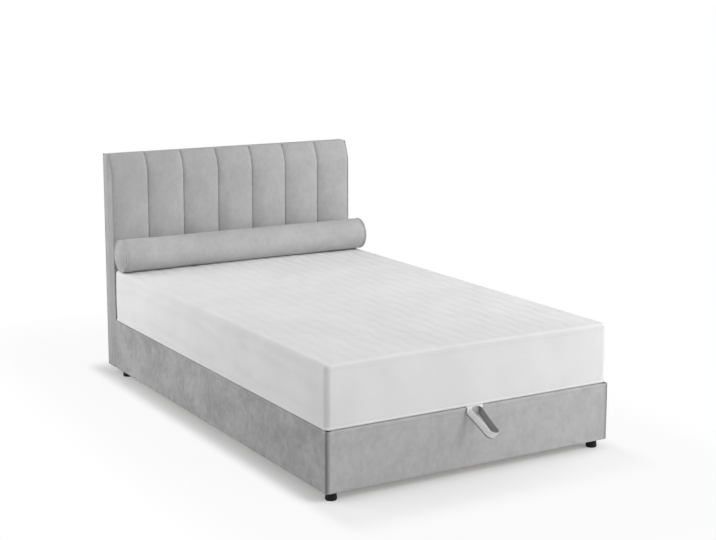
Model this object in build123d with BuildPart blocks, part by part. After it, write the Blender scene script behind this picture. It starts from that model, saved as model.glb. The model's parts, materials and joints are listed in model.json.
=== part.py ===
import os
from math import atan2, cos, degrees, hypot, radians, sin, sqrt

from build123d import *

os.makedirs("parts", exist_ok=True)

# Box spring bed with a lift-up storage box, in millimetres.
# X is the width (left is negative), Y runs from the foot end to the headboard, Z is up.
# The origin lies on the floor under the middle of the whole bed.

# Driving dimensions
box_width = 1280
box_length = 2024
box_height = 230
glide_height = 35
mattress_height = 238
mattress_inset = 9
mattress_head_gap = 8
mattress_gap = 3
headboard_top = 1045
headboard_thickness = 100
lid_tilt = 40
tilt_share = 0.47

# Box walls and their upholstery
board_thickness = 18
cover_thickness = 4
cover_bottom_fold = 2
cover_edge_radius = 3.5
head_end_drop = 4

# Storage floor, corner blocks and glides
corner_block_side = 40
corner_block_height = 65
batten_width = 20
batten_height = 22
floor_rail_width = 60
floor_panel_thickness = 8
floor_panel_gap = 1
notch_clearance = 0.5
glide_diameter = 45
glide_top_diameter = 38
glide_edge_radius = 4
stud_radius = 4
stud_length = 32
stud_clearance = 0.1

# Lift mechanism, seen from the side: distances ahead of the headboard, and heights
arm_pivot = (626, 114)
lid_pivot = (325, 202.5)
guide_start = (48, 129.5)
gas_foot = (852, 180)
gas_head = (428, 195)
plate_thickness = 5
plate_margin = 22
plate_corner_radius = 12
arm_gap = 2
arm_thickness = 5
arm_width = 40
pin_radius = 6
pin_clearance = 0.05
pin_head_radius = 10
pin_head_thickness = 3
head_gap = 0.3
lid_pin_head_thickness = 1.2
guide_roller_radius = 8
guide_clearance = 0.3
guide_axle_radius = 4
guide_steps = 12
gas_layer = 27
gas_cylinder_radius = 9
gas_bore_radius = 8
gas_cylinder_length = 262
gas_end_wall = 8
gas_gland_length = 12
gas_rod_radius = 4
gas_rod_clearance = 0.06
gas_piston_radius = 7.92
gas_piston_length = 14
gas_piston_rest_depth = 24
gas_eye_radius = 9.5
gas_eye_width = 10
gas_stud_radius = 4
gas_open_clearance = 2.5
gas_stud_head_radius = 9
gas_foot_head_radius = 6

# Screws
screw_radius = 2.5
screw_head_radius = 4.5
screw_head_depth = 2.5
screw_length = 16
screw_clearance = 0.1
wall_screw_length = 52
wall_screw_rise = 43
wall_screw_step = 10

# Lid: frame, battens, springs and cover
lid_side_inset = 45
bracket_thickness = 5
bracket_margin = 24
bracket_clearance = 2
lid_foot_gap = 15
lid_head_gap = 29
lid_height = 91
lid_board_thickness = 18
lid_cover_thickness = 3
lid_batten_width = 80
lid_batten_thickness = 18
lid_batten_count = 7
pocket_diameter = 84
pocket_web = 3
pocket_gap = 1

# Pull strap
strap_width = 38
strap_thickness = 2.4
strap_spacing = 44
strap_leg = 140
strap_droop = 28
strap_face_gap = 0.3
strap_tab_side = 12
strap_end_drop = 32
strap_clamp_width = 60
strap_clamp_height = 24
strap_clamp_thickness = 2
strap_screw_spacing = 30
strap_screw_head_depth = 1.5

# Mattress
mattress_corner_radius = 24
mattress_top_thickness = 22
mattress_edge_radius = 16
mattress_bottom_radius = 8
mattress_crown = 5
mattress_channel_count = 21
mattress_channel_depth = 1.6
mattress_skin = 4
mattress_foam_thickness = 36
mattress_edge_foam = 62
mattress_pocket_diameter = 77

# Bolster
bolster_diameter = 150
bolster_end_inset = 10
bolster_dome = 15
bolster_skin = 3
bolster_head_gap = 14
bolster_rest_gap = 0.3
bolster_flat = 1.5
piping_radius = 3.5

# Headboard
channel_count = 7
channel_crown = 9
sweep_height = 120
sweep_depth = 42
pad_bottom_gap = 1
post_width = 70
post_inset = 120
post_drop = 2
core_thickness = 16
sweep_turn = 60
back_cover_thickness = 3
back_rail_thickness = 15
back_rail_width = 70
back_rail_count = 3
border_thickness = 3
bolt_radius = 4
bolt_head_radius = 8
bolt_head_thickness = 5
bolt_length = 74
bolt_heights = (100, 150)

# Shares
slope_share = 0.05
eye_overlap_share = 0.8

# How closely an edge has to match the plane that selects it
match_tolerance = 0.01

# Derived places
box_bottom = glide_height
box_top = glide_height + box_height
strap_tip = strap_leg + strap_spacing / 2 + strap_thickness / 2
strap_reach = strap_tip * cos(radians(strap_droop)) + strap_width / 2 * sin(radians(strap_droop))
overall_length = strap_reach + box_length + headboard_thickness
foot_y = strap_reach - overall_length / 2
head_y = foot_y + box_length
outer_x = box_width / 2
board_outer_x = outer_x - cover_thickness
board_inner_x = board_outer_x - board_thickness
board_foot_y = foot_y + cover_thickness
inner_foot_y = board_foot_y + board_thickness
inner_head_y = head_y - board_thickness
board_bottom = box_bottom + cover_bottom_fold
board_top = box_top - cover_thickness
floor_bottom = box_bottom + batten_height
floor_top = floor_bottom + floor_panel_thickness

mattress_bottom = box_top + mattress_gap
mattress_top = mattress_bottom + mattress_height
mattress_x = outer_x - mattress_inset
mattress_foot_y = foot_y + mattress_inset
mattress_head_y = head_y - mattress_head_gap

lid_x = board_inner_x - lid_side_inset
lid_inner_x = lid_x - lid_board_thickness
lid_foot_y = inner_foot_y + lid_foot_gap
lid_head_y = inner_head_y - lid_head_gap
lid_top = mattress_bottom - lid_cover_thickness
lid_bottom = lid_top - lid_height
bracket_x = lid_x + bracket_thickness

plate_x = board_inner_x - plate_thickness
arm_outer_x = plate_x - arm_gap
arm_inner_x = arm_outer_x - arm_thickness
gas_x = board_inner_x - gas_layer

sides = (("left", -1), ("right", 1))


def save(piece, name):
    """Label a finished piece and write it to its own file."""
    piece.label = name
    export_step(piece, f"parts/{name}.step")


def block(x_span, y_span, z_span, mode=Mode.ADD):
    """Box between two values on each axis, in the open part."""
    spans = (x_span, y_span, z_span)
    with Locations(tuple(sum(span) / 2 for span in spans)):
        Box(*(max(span) - min(span) for span in spans), mode=mode)


def rod_x(x_span, place, radius, mode=Mode.ADD):
    """Round bar along X at a (y, z) place, in the open part."""
    with Locations(Location(((x_span[0] + x_span[1]) / 2, *place), (0, 90, 0))):
        Cylinder(radius, abs(x_span[1] - x_span[0]), mode=mode)


def rod_y(y_span, place, radius, mode=Mode.ADD):
    """Round bar along Y at an (x, z) place, in the open part."""
    with Locations(Location((place[0], (y_span[0] + y_span[1]) / 2, place[1]), (90, 0, 0))):
        Cylinder(radius, abs(y_span[1] - y_span[0]), mode=mode)


def side_point(place):
    """(y, z) of a mechanism point given as distance ahead of the headboard, and height."""
    return (head_y - place[0], place[1])


def lid_place(place, swing):
    """Where a lid point stands when the arms have swung by an angle in radians."""
    pivot_y, pivot_z = side_point(arm_pivot)
    hinge_y, hinge_z = side_point(lid_pivot)
    tilt = swing * tilt_share
    arm_y, arm_z = hinge_y - pivot_y, hinge_z - pivot_z
    from_y, from_z = place[0] - hinge_y, place[1] - hinge_z
    return (
        pivot_y + arm_y * cos(swing) - arm_z * sin(swing) + from_y * cos(tilt) + from_z * sin(tilt),
        pivot_z + arm_y * sin(swing) + arm_z * cos(swing) - from_y * sin(tilt) + from_z * cos(tilt),
    )


arm_swing = radians(lid_tilt) / tilt_share
arm_place, hinge_place = side_point(arm_pivot), side_point(lid_pivot)
guide_place = side_point(guide_start)
gas_foot_place, gas_head_place = side_point(gas_foot), side_point(gas_head)

# Screw places on the two plates of each lift fitting, as (y, z)
pivot_plate_y = (arm_place[0] + plate_margin * 2, gas_foot_place[0] - plate_margin)
pivot_plate_z = (arm_place[1] - plate_margin, gas_foot_place[1] + plate_margin)
guide_path = [lid_place(guide_place, arm_swing * step / guide_steps) for step in range(guide_steps + 1)]
guide_plate_y = (guide_path[-1][0] - plate_margin, guide_path[0][0] + plate_margin)
guide_low = min(place[1] for place in guide_path)
guide_high = max(place[1] for place in guide_path)
guide_plate_z = (guide_low - plate_margin, guide_high + plate_margin)
screw_edge = plate_margin / 2


def rectangle_corners(y_span, z_span, edge):
    """Four (y, z) places inside a rectangle, a set distance from its edges."""
    low_y, high_y = min(y_span) + edge, max(y_span) - edge
    low_z, high_z = min(z_span) + edge, max(z_span) - edge
    return [(low_y, low_z), (high_y, low_z), (low_y, high_z), (high_y, high_z)]


pivot_screws = rectangle_corners(pivot_plate_y, pivot_plate_z, screw_edge)
guide_screws = [
    (guide_plate_y[0] + screw_edge, guide_plate_z[0] + screw_edge),
    (sum(guide_plate_y) / 2, guide_plate_z[0] + screw_edge),
    (guide_plate_y[0] + screw_edge, guide_plate_z[1] - screw_edge),
    (guide_plate_y[1] - screw_edge, guide_plate_z[1] - screw_edge),
]
fitting_screws = pivot_screws + guide_screws


def countersunk(sign, place, slack, mode=Mode.ADD):
    """Countersunk screw along X in a fitting plate, its head towards the storage space."""
    head_span = (sign * plate_x, sign * (plate_x + screw_head_depth))
    rod_x((sign * plate_x, sign * (plate_x + screw_length + slack)), place, screw_radius + slack, mode)
    with Locations(Location((sum(head_span) / 2, *place), (0, sign * 90, 0))):
        Cone(screw_head_radius + slack, screw_radius + slack, screw_head_depth, mode=mode)


# Places of the corner blocks inside the walls
block_outer_y = {"front": inner_foot_y, "rear": inner_head_y}
block_sign_y = {"front": 1, "rear": -1}
block_middle_x = board_inner_x - corner_block_side / 2
block_middle_y = {
    end: block_outer_y[end] + block_sign_y[end] * corner_block_side / 2 for end in block_outer_y
}
block_places = [(sign * block_middle_x, block_middle_y[end]) for end in block_middle_y for sign in (-1, 1)]


def wall_screws(slack, mode=Mode.ADD):
    """Wall screws through every corner block, with their heads inside the box."""
    for sign in (-1, 1):
        for end in block_middle_y:
            inward = block_sign_y[end]
            inner_x = block_middle_x - corner_block_side / 2
            outer_tip_x = inner_x + wall_screw_length
            side_place = (block_middle_y[end], box_bottom + wall_screw_rise)
            rod_x((sign * inner_x, sign * outer_tip_x), side_place, screw_radius + slack, mode)
            rod_x((sign * (inner_x - screw_head_depth), sign * inner_x), side_place, screw_head_radius, mode)
            inner_y = block_middle_y[end] + inward * corner_block_side / 2
            end_place = (sign * block_middle_x, box_bottom + wall_screw_rise + wall_screw_step)
            rod_y((inner_y, inner_y - inward * wall_screw_length), end_place, screw_radius + slack, mode)
            rod_y((inner_y, inner_y + inward * screw_head_depth), end_place, screw_head_radius, mode)


def headboard_bolts_at(slack, mode=Mode.ADD):
    """Bolts through the head end board into the headboard's posts, in the open part."""
    for sign in (-1, 1):
        for height in bolt_heights:
            place = (sign * (board_inner_x - post_inset), height)
            rod_y((inner_head_y, inner_head_y + bolt_length + slack), place, bolt_radius + slack, mode)
            rod_y((inner_head_y - bolt_head_thickness, inner_head_y), place, bolt_head_radius, mode)


# Places of the clamp that holds the pull strap on the lid's foot rail
clamp_face_y = lid_foot_y - strap_thickness - strap_clamp_thickness
clamp_middle_z = box_top + strap_face_gap + strap_thickness - strap_end_drop / 2


def strap_screws(slack, mode=Mode.ADD):
    """Screws through the clamp and the strap's end into the lid's foot rail, in the open part."""
    for sign in (-1, 1):
        place = (sign * strap_screw_spacing / 2, clamp_middle_z)
        rod_y((clamp_face_y, clamp_face_y + screw_length + slack), place, screw_radius + slack, mode)
        rod_y((clamp_face_y - strap_screw_head_depth, clamp_face_y), place, screw_head_radius, mode)


# Side boards, foot board and head end board of the storage box
for side, sign in sides:
    with BuildPart() as side_board:
        block((sign * board_inner_x, sign * board_outer_x), (board_foot_y, head_y), (board_bottom, board_top))
        for place in fitting_screws:
            countersunk(sign, place, screw_clearance, Mode.SUBTRACT)
        wall_screws(screw_clearance, Mode.SUBTRACT)
    save(side_board.part, f"side_board_{side}")

with BuildPart() as foot_board:
    block((-board_inner_x, board_inner_x), (board_foot_y, inner_foot_y), (board_bottom, board_top))
    wall_screws(screw_clearance, Mode.SUBTRACT)
save(foot_board.part, "foot_board")

with BuildPart() as head_end_board:
    block((-board_inner_x, board_inner_x), (inner_head_y, head_y), (board_bottom, board_top - head_end_drop))
    headboard_bolts_at(screw_clearance, Mode.SUBTRACT)
    wall_screws(screw_clearance, Mode.SUBTRACT)
save(head_end_board.part, "head_end_board")


def outer_edges(part, x=None, y=None):
    """Edges of a part that lie in a vertical plane at the given x or y."""
    def lies_there(edge):
        centre = edge.center()
        on_x = x is None or abs(centre.X - x) < match_tolerance
        on_y = y is None or abs(centre.Y - y) < match_tolerance
        return on_x and on_y
    return part.edges().filter_by(lies_there)


# Upholstery covers: velvet over thin foam, folded over the rim and under the board
for side, sign in sides:
    with BuildPart() as side_cover:
        y_span = (board_foot_y, head_y)
        x_span = (sign * board_inner_x, sign * board_outer_x)
        block((sign * board_outer_x, sign * outer_x), y_span, (box_bottom, box_top))
        block(x_span, y_span, (board_top, box_top))
        block(x_span, y_span, (box_bottom, board_bottom))
        long_edges = outer_edges(side_cover.part, x=sign * outer_x).filter_by(Axis.Y)
        fillet(long_edges, cover_edge_radius)
    save(side_cover.part, f"side_cover_{side}")

with BuildPart() as foot_cover:
    y_span = (board_foot_y, inner_foot_y)
    block((-outer_x, outer_x), (foot_y, board_foot_y), (box_bottom, box_top))
    block((-board_inner_x, board_inner_x), y_span, (board_top, box_top))
    block((-board_inner_x, board_inner_x), y_span, (box_bottom, board_bottom))
    rim_edges = outer_edges(foot_cover.part, y=foot_y)
    fillet(rim_edges, cover_edge_radius)
save(foot_cover.part, "foot_cover")

# Corner blocks that join the walls and carry the glides
with BuildPart() as corner_blocks:
    with BuildSketch(Plane.XY.offset(box_bottom)):
        with Locations(*block_places):
            Rectangle(corner_block_side, corner_block_side)
    extrude(amount=corner_block_height)
    with BuildSketch(Plane.XY.offset(box_bottom)):
        with Locations(*block_places):
            Circle(stud_radius + stud_clearance)
    extrude(amount=stud_length + stud_clearance, mode=Mode.SUBTRACT)
    wall_screws(screw_clearance, Mode.SUBTRACT)
save(corner_blocks.part, "corner_blocks")

# Storage floor: two panels on side battens and on a rail down the middle
with BuildPart() as floor_battens:
    half = corner_block_side / 2
    batten_y = (block_middle_y["front"] + half, block_middle_y["rear"] - half)
    for side, sign in sides:
        x_span = (sign * (board_inner_x - batten_width), sign * board_inner_x)
        block(x_span, batten_y, (box_bottom, floor_bottom))
save(floor_battens.part, "floor_battens")

centre_y = (inner_foot_y + inner_head_y) / 2
with BuildPart() as floor_rail:
    half = floor_rail_width / 2
    block((-half, half), (inner_foot_y, inner_head_y), (box_bottom, floor_bottom))
    with BuildSketch(Plane.XY.offset(box_bottom)):
        with Locations((0, centre_y)):
            Circle(stud_radius + stud_clearance)
    extrude(amount=batten_height, mode=Mode.SUBTRACT)
save(floor_rail.part, "floor_rail")

for side, sign in sides:
    with BuildPart() as floor_panel:
        x_span = (sign * floor_panel_gap / 2, sign * board_inner_x)
        block(x_span, (inner_foot_y, inner_head_y), (floor_bottom, floor_top))
        notch = corner_block_side + notch_clearance
        with BuildSketch(Plane.XY.offset(floor_bottom)):
            with Locations(*(place for place in block_places if place[0] * sign > 0)):
                Rectangle(2 * notch - corner_block_side, 2 * notch - corner_block_side)
        extrude(amount=floor_panel_thickness, mode=Mode.SUBTRACT)
    save(floor_panel.part, f"floor_panel_{side}")

# Round glides with moulded studs: four at the corners, one under the middle rail
def glide_at(place, stud):
    """Glide with its stud standing on the floor at an (x, y) place, in the open part."""
    foot_radius, top_radius = glide_diameter / 2, glide_top_diameter / 2
    with Locations((*place, glide_edge_radius / 2)):
        Cylinder(foot_radius - glide_edge_radius / 2, glide_edge_radius)
    cone_height = glide_height - glide_edge_radius
    with Locations((*place, glide_edge_radius + cone_height / 2)):
        Cone(foot_radius, top_radius, cone_height)
    with Locations((*place, glide_height + stud / 2)):
        Cylinder(stud_radius, stud)


with BuildPart() as corner_glides:
    for place in block_places:
        glide_at(place, stud_length)
save(corner_glides.part, "corner_glides")

with BuildPart() as centre_glide:
    glide_at((0, centre_y), batten_height)
save(centre_glide.part, "centre_glide")

# Screws that hold the walls to the corner blocks
with BuildPart() as box_screws:
    wall_screws(0)
save(box_screws.part, "box_screws")

# Screws of the plates of both lift fittings
with BuildPart() as plate_screws:
    for side, sign in sides:
        for place in fitting_screws:
            countersunk(sign, place, 0)
save(plate_screws.part, "fitting_screws")

# Pivot plates: they carry the arm pivot and the foot of the gas spring
for side, sign in sides:
    with BuildPart() as pivot_plate:
        x_span = (sign * plate_x, sign * board_inner_x)
        block(x_span, pivot_plate_y, pivot_plate_z)
        fillet(pivot_plate.edges().filter_by(Axis.X), plate_corner_radius)
        for place in pivot_screws:
            countersunk(sign, place, screw_clearance, Mode.SUBTRACT)
        for place, radius in ((arm_place, pin_radius), (gas_foot_place, gas_stud_radius)):
            rod_x(x_span, place, radius, Mode.SUBTRACT)
    save(pivot_plate.part, f"pivot_plate_{side}")

# Guide plates: the curved slot is the path of the guide pin, widened by the roller
def slot_edge(offset):
    """Points of one edge of the guide slot, a set distance from the pin's path."""
    points = []
    for step in range(guide_steps + 1):
        here = lid_place(guide_place, arm_swing * step / guide_steps)
        ahead = lid_place(guide_place, arm_swing * (step + slope_share) / guide_steps)
        back = lid_place(guide_place, arm_swing * (step - slope_share) / guide_steps)
        run_y, run_z = ahead[0] - back[0], ahead[1] - back[1]
        run = hypot(run_y, run_z)
        points.append((here[0] - offset * run_z / run, here[1] + offset * run_y / run))
    return points


slot_radius = guide_roller_radius + guide_clearance
for side, sign in sides:
    with BuildPart() as guide_plate:
        x_span = (sign * plate_x, sign * board_inner_x)
        block(x_span, guide_plate_y, guide_plate_z)
        fillet(guide_plate.edges().filter_by(Axis.X), plate_corner_radius)
        with BuildSketch(Plane.YZ.offset(min(x_span))):
            with BuildLine():
                upper = Spline(*slot_edge(slot_radius))
                lower = Spline(*slot_edge(-slot_radius))
                for start, end, at, heading in ((upper @ 0, lower @ 0, 0, -1), (upper @ 1, lower @ 1, 1, 1)):
                    tangent = (upper % at) * heading
                    middle = (start + end) / 2 + tangent * slot_radius
                    ThreePointArc(start, middle, end)
            make_face()
        extrude(amount=plate_thickness, mode=Mode.SUBTRACT)
        for place in guide_screws:
            countersunk(sign, place, screw_clearance, Mode.SUBTRACT)
    save(guide_plate.part, f"guide_plate_{side}")

# Pivot pins of the arms, and the studs at the foot of the gas springs
with BuildPart() as pivot_pins:
    for side, sign in sides:
        head_x = arm_inner_x - head_gap
        rod_x((sign * board_inner_x, sign * head_x), arm_place, pin_radius)
        rod_x((sign * head_x, sign * (head_x - pin_head_thickness)), arm_place, pin_head_radius)
save(pivot_pins.part, "pivot_pins")

gas_eye_inner_x = gas_x - gas_eye_width / 2
gas_eye_outer_x = gas_x + gas_eye_width / 2
with BuildPart() as gas_studs_box:
    for side, sign in sides:
        head_x = gas_eye_inner_x - head_gap
        rod_x((sign * board_inner_x, sign * head_x), gas_foot_place, gas_stud_radius)
        rod_x((sign * head_x, sign * (head_x - pin_head_thickness)), gas_foot_place, gas_foot_head_radius)
save(gas_studs_box.part, "gas_studs_box")

# Lift arms
arm_angle = degrees(atan2(hinge_place[1] - arm_place[1], hinge_place[0] - arm_place[0]))
arm_length = hypot(hinge_place[0] - arm_place[0], hinge_place[1] - arm_place[1])
arm_middle = ((arm_place[0] + hinge_place[0]) / 2, (arm_place[1] + hinge_place[1]) / 2)
for side, sign in sides:
    with BuildPart() as arm:
        with BuildSketch(Plane.YZ.offset(min(sign * arm_inner_x, sign * arm_outer_x))):
            with Locations(Location((*arm_middle, 0), arm_angle)):
                SlotCenterToCenter(arm_length, arm_width)
            with Locations(arm_place, hinge_place):
                Circle(pin_radius + pin_clearance, mode=Mode.SUBTRACT)
        extrude(amount=arm_thickness)
    save(arm.part, f"arm_{side}")

# Gas springs: cylinder on the box, rod on the lid
gas_angle = degrees(atan2(gas_head_place[1] - gas_foot_place[1], gas_head_place[0] - gas_foot_place[0]))
gas_length = hypot(gas_head_place[0] - gas_foot_place[0], gas_head_place[1] - gas_foot_place[1])
gas_eye_neck = gas_eye_radius * eye_overlap_share


def gas_plane(sign):
    """Plane at the foot of a gas spring with its X along the spring."""
    angle = radians(gas_angle)
    origin = (sign * gas_x, *gas_foot_place)
    return Plane(origin=origin, x_dir=(0, cos(angle), sin(angle)), z_dir=(0, -sin(angle), cos(angle)))


for side, sign in sides:
    with BuildPart(gas_plane(sign)) as gas_cylinder:
        barrel_middle = (gas_eye_neck + gas_cylinder_length / 2, 0, 0)
        with Locations(Location(barrel_middle, (0, 90, 0))):
            Cylinder(gas_cylinder_radius, gas_cylinder_length)
        bore_length = gas_cylinder_length - gas_end_wall - gas_gland_length
        with Locations(Location((gas_eye_neck + gas_end_wall + bore_length / 2, 0, 0), (0, 90, 0))):
            Cylinder(gas_bore_radius, bore_length, mode=Mode.SUBTRACT)
        gland_middle = gas_eye_neck + gas_cylinder_length - gas_gland_length / 2
        with Locations(Location((gland_middle, 0, 0), (0, 90, 0))):
            Cylinder(gas_rod_radius + gas_rod_clearance, gas_gland_length, mode=Mode.SUBTRACT)
        with Locations(Location((0, 0, 0), (90, 0, 0))):
            Cylinder(gas_eye_radius, gas_eye_width)
            Cylinder(gas_stud_radius + pin_clearance, gas_eye_width, mode=Mode.SUBTRACT)
    save(gas_cylinder.part, f"gas_cylinder_{side}")

    with BuildPart(gas_plane(sign)) as gas_rod:
        piston_end = gas_eye_neck + gas_cylinder_length - gas_gland_length - gas_piston_rest_depth
        rod_length = gas_length - gas_eye_neck - piston_end
        with Locations(Location((piston_end + rod_length / 2, 0, 0), (0, 90, 0))):
            Cylinder(gas_rod_radius, rod_length)
        with Locations(Location((piston_end, 0, 0), (0, 90, 0))):
            Cylinder(gas_piston_radius, gas_piston_length)
        with Locations(Location((gas_length, 0, 0), (90, 0, 0))):
            Cylinder(gas_eye_radius + gas_open_clearance, gas_eye_width)
            Cylinder(gas_stud_radius + gas_open_clearance, gas_eye_width, mode=Mode.SUBTRACT)
    save(gas_rod.part, f"gas_rod_{side}")

# Lid frame boards and cross battens
for side, sign in sides:
    with BuildPart() as lid_side:
        block((sign * lid_inner_x, sign * lid_x), (lid_foot_y, lid_head_y), (lid_bottom, lid_top))
    save(lid_side.part, f"lid_side_{side}")

for rail_name, rail_y, inward in (("foot", lid_foot_y, 1), ("head", lid_head_y, -1)):
    with BuildPart() as lid_rail:
        y_span = (rail_y, rail_y + inward * lid_board_thickness)
        block((-lid_inner_x, lid_inner_x), y_span, (lid_bottom, lid_top))
        strap_screws(screw_clearance, Mode.SUBTRACT)
    save(lid_rail.part, f"lid_{rail_name}_rail")

batten_run = lid_head_y - lid_foot_y - 2 * lid_board_thickness
batten_pitch = batten_run / lid_batten_count
lid_middle_y = (lid_foot_y + lid_head_y) / 2
batten_top = lid_bottom + lid_batten_thickness
with BuildPart() as lid_battens:
    with BuildSketch(Plane.XY.offset(lid_bottom)):
        with Locations((0, lid_middle_y)):
            with GridLocations(2 * lid_inner_x, batten_pitch, 1, lid_batten_count):
                Rectangle(2 * lid_inner_x, lid_batten_width)
    extrude(amount=lid_batten_thickness)
save(lid_battens.part, "lid_battens")


def pocket_counts(width, length, diameter):
    """How many strings and how many pockets fill a rectangle, with a gap between strings."""
    return int(width // (diameter + pocket_gap)), int((length - pocket_gap) // diameter)


def spring_strings(width, length, diameter, middle_y):
    """Plan of strings of round spring pockets joined by webs, in the open sketch."""
    strings, pockets = pocket_counts(width, length, diameter)
    with Locations((0, middle_y)):
        with GridLocations(diameter + pocket_gap, diameter, strings, pockets):
            Circle(diameter / 2)
        with GridLocations(diameter + pocket_gap, length, strings, 1):
            Rectangle(pocket_web, (pockets - 1) * diameter)


# Spring unit of the lid: strings of pocket springs side by side
with BuildPart() as lid_springs:
    with BuildSketch(Plane.XY.offset(batten_top)):
        spring_strings(2 * lid_inner_x, batten_run, pocket_diameter, lid_middle_y)
    extrude(amount=lid_top - batten_top)
save(lid_springs.part, "lid_springs")

with BuildPart() as lid_cover:
    block((-lid_x, lid_x), (lid_foot_y, lid_head_y), (lid_top, mattress_bottom))
save(lid_cover.part, "lid_cover")

# Brackets that hang the lid on the arms, the gas springs and the guide pins
bracket_low = guide_place[1] - plate_margin / 2
bracket_ear_top = lid_bottom + bracket_margin
bracket_y = (gas_head_place[0] - bracket_margin, guide_place[0] + bracket_margin - bracket_clearance)
for side, sign in sides:
    with BuildPart() as lid_bracket:
        x_span = (sign * lid_x, sign * bracket_x)
        block(x_span, bracket_y, (lid_bottom, lid_bottom + 2 * bracket_margin))
        ear_y = (guide_place[0] - 2 * bracket_margin, bracket_y[1])
        block(x_span, ear_y, (bracket_low, bracket_ear_top))
        for place, radius in ((hinge_place, pin_radius), (gas_head_place, gas_stud_radius),
                              (guide_place, guide_axle_radius)):
            rod_x(x_span, place, radius, Mode.SUBTRACT)
    save(lid_bracket.part, f"lid_bracket_{side}")

with BuildPart() as lid_pins:
    for side, sign in sides:
        head_x = arm_outer_x + head_gap
        rod_x((sign * lid_x, sign * head_x), hinge_place, pin_radius)
        collar_x = arm_inner_x - head_gap
        rod_x((sign * bracket_x, sign * collar_x), hinge_place, pin_head_radius)
        rod_x((sign * head_x, sign * (head_x + lid_pin_head_thickness)), hinge_place, pin_head_radius)
save(lid_pins.part, "lid_pins")

with BuildPart() as gas_studs_lid:
    for side, sign in sides:
        head_x = gas_eye_outer_x + head_gap
        rod_x((sign * lid_x, sign * head_x), gas_head_place, gas_stud_radius)
        rod_x((sign * head_x, sign * (head_x + pin_head_thickness)), gas_head_place, gas_stud_head_radius)
save(gas_studs_lid.part, "gas_studs_lid")

with BuildPart() as guide_pins:
    for side, sign in sides:
        roller_span = (sign * (plate_x + head_gap), sign * (board_inner_x - head_gap))
        rod_x((sign * lid_x, sign * (plate_x + head_gap)), guide_place, guide_axle_radius)
        rod_x(roller_span, guide_place, guide_roller_radius)
save(guide_pins.part, "guide_pins")

# Pull strap: a loop of webbing that comes out under the mattress, clamped on the lid
droop = radians(strap_droop)
strap_origin = (0, foot_y, box_top + strap_face_gap)
strap_plane = Plane(origin=strap_origin, x_dir=(1, 0, 0), z_dir=(0, sin(droop), -cos(droop)))
strap_level = box_top + strap_face_gap
with BuildPart() as pull_strap:
    with BuildSketch(strap_plane.offset(-strap_width / 2)):
        for sign in (-1, 1):
            with Locations((sign * strap_spacing / 2, strap_leg / 2)):
                Rectangle(strap_thickness, strap_leg)
        with BuildSketch(mode=Mode.PRIVATE) as turn:
            with Locations((0, strap_leg)):
                Circle((strap_spacing + strap_thickness) / 2)
                Circle((strap_spacing - strap_thickness) / 2, mode=Mode.SUBTRACT)
            with Locations((0, strap_leg - strap_spacing)):
                Rectangle(2 * strap_spacing, 2 * strap_spacing, mode=Mode.SUBTRACT)
        add(turn.sketch)
    extrude(amount=strap_width)
    trim_x = (-strap_spacing, strap_spacing)
    trim_top = box_top + strap_width
    trim_back = foot_y + strap_width
    block(trim_x, (foot_y - strap_width, trim_back), (strap_level + strap_thickness, trim_top), Mode.SUBTRACT)
    block(trim_x, (foot_y - strap_face_gap, trim_back), (box_bottom, trim_top), Mode.SUBTRACT)
    tab_x = strap_spacing / 2 + strap_thickness / 2
    tab_reach = foot_y - strap_tab_side
    tab_top = strap_level + strap_thickness
    block((-tab_x, tab_x), (tab_reach, lid_foot_y), (strap_level, tab_top))
    block((-tab_x, tab_x), (lid_foot_y - strap_thickness, lid_foot_y), (tab_top - strap_end_drop, tab_top))
    strap_screws(screw_clearance, Mode.SUBTRACT)
save(pull_strap.part, "pull_strap")

with BuildPart() as strap_clamp:
    half_width, half_height = strap_clamp_width / 2, strap_clamp_height / 2
    y_span = (clamp_face_y, clamp_face_y + strap_clamp_thickness)
    block((-half_width, half_width), y_span, (clamp_middle_z - half_height, clamp_middle_z + half_height))
    fillet(strap_clamp.edges().filter_by(Axis.Y), screw_head_radius)
    strap_screws(screw_clearance, Mode.SUBTRACT)
save(strap_clamp.part, "strap_clamp")

with BuildPart() as clamp_screws:
    strap_screws(0)
save(clamp_screws.part, "clamp_screws")

# Mattress: quilted top panel, cover of sides and bottom, foams and spring core
mattress_length = mattress_head_y - mattress_foot_y
mattress_middle_y = (mattress_foot_y + mattress_head_y) / 2
top_panel_bottom = mattress_top - mattress_top_thickness
channel_width = 2 * mattress_x / mattress_channel_count


def crown_height(x):
    """Height of the mattress top at a place across its width."""
    return mattress_top + mattress_crown * (1 - (x / mattress_x) ** 2)


with BuildPart() as mattress_top_panel:
    with BuildSketch(Plane.XY.offset(top_panel_bottom)):
        with Locations((0, mattress_middle_y)):
            RectangleRounded(2 * mattress_x, mattress_length, mattress_corner_radius)
    extrude(amount=mattress_top_thickness + mattress_crown)
    fillet(mattress_top_panel.faces().sort_by(Axis.Z)[-1].edges(), mattress_edge_radius)
    with BuildSketch(Plane.XZ.offset(-mattress_head_y)):
        with BuildLine():
            seams = []
            for seam in range(mattress_channel_count + 1):
                x = seam * channel_width - mattress_x
                inner_seam = 0 < seam < mattress_channel_count
                seams.append((x, crown_height(x) - (mattress_channel_depth if inner_seam else 0)))
            for left_seam, right_seam in zip(seams, seams[1:]):
                crest_x = (left_seam[0] + right_seam[0]) / 2
                ThreePointArc(left_seam, (crest_x, crown_height(crest_x)), right_seam)
            Polyline(seams[0], (-mattress_x, top_panel_bottom), (mattress_x, top_panel_bottom), seams[-1])
        make_face()
    extrude(amount=mattress_length, mode=Mode.INTERSECT)
save(mattress_top_panel.part, "mattress_top")

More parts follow.
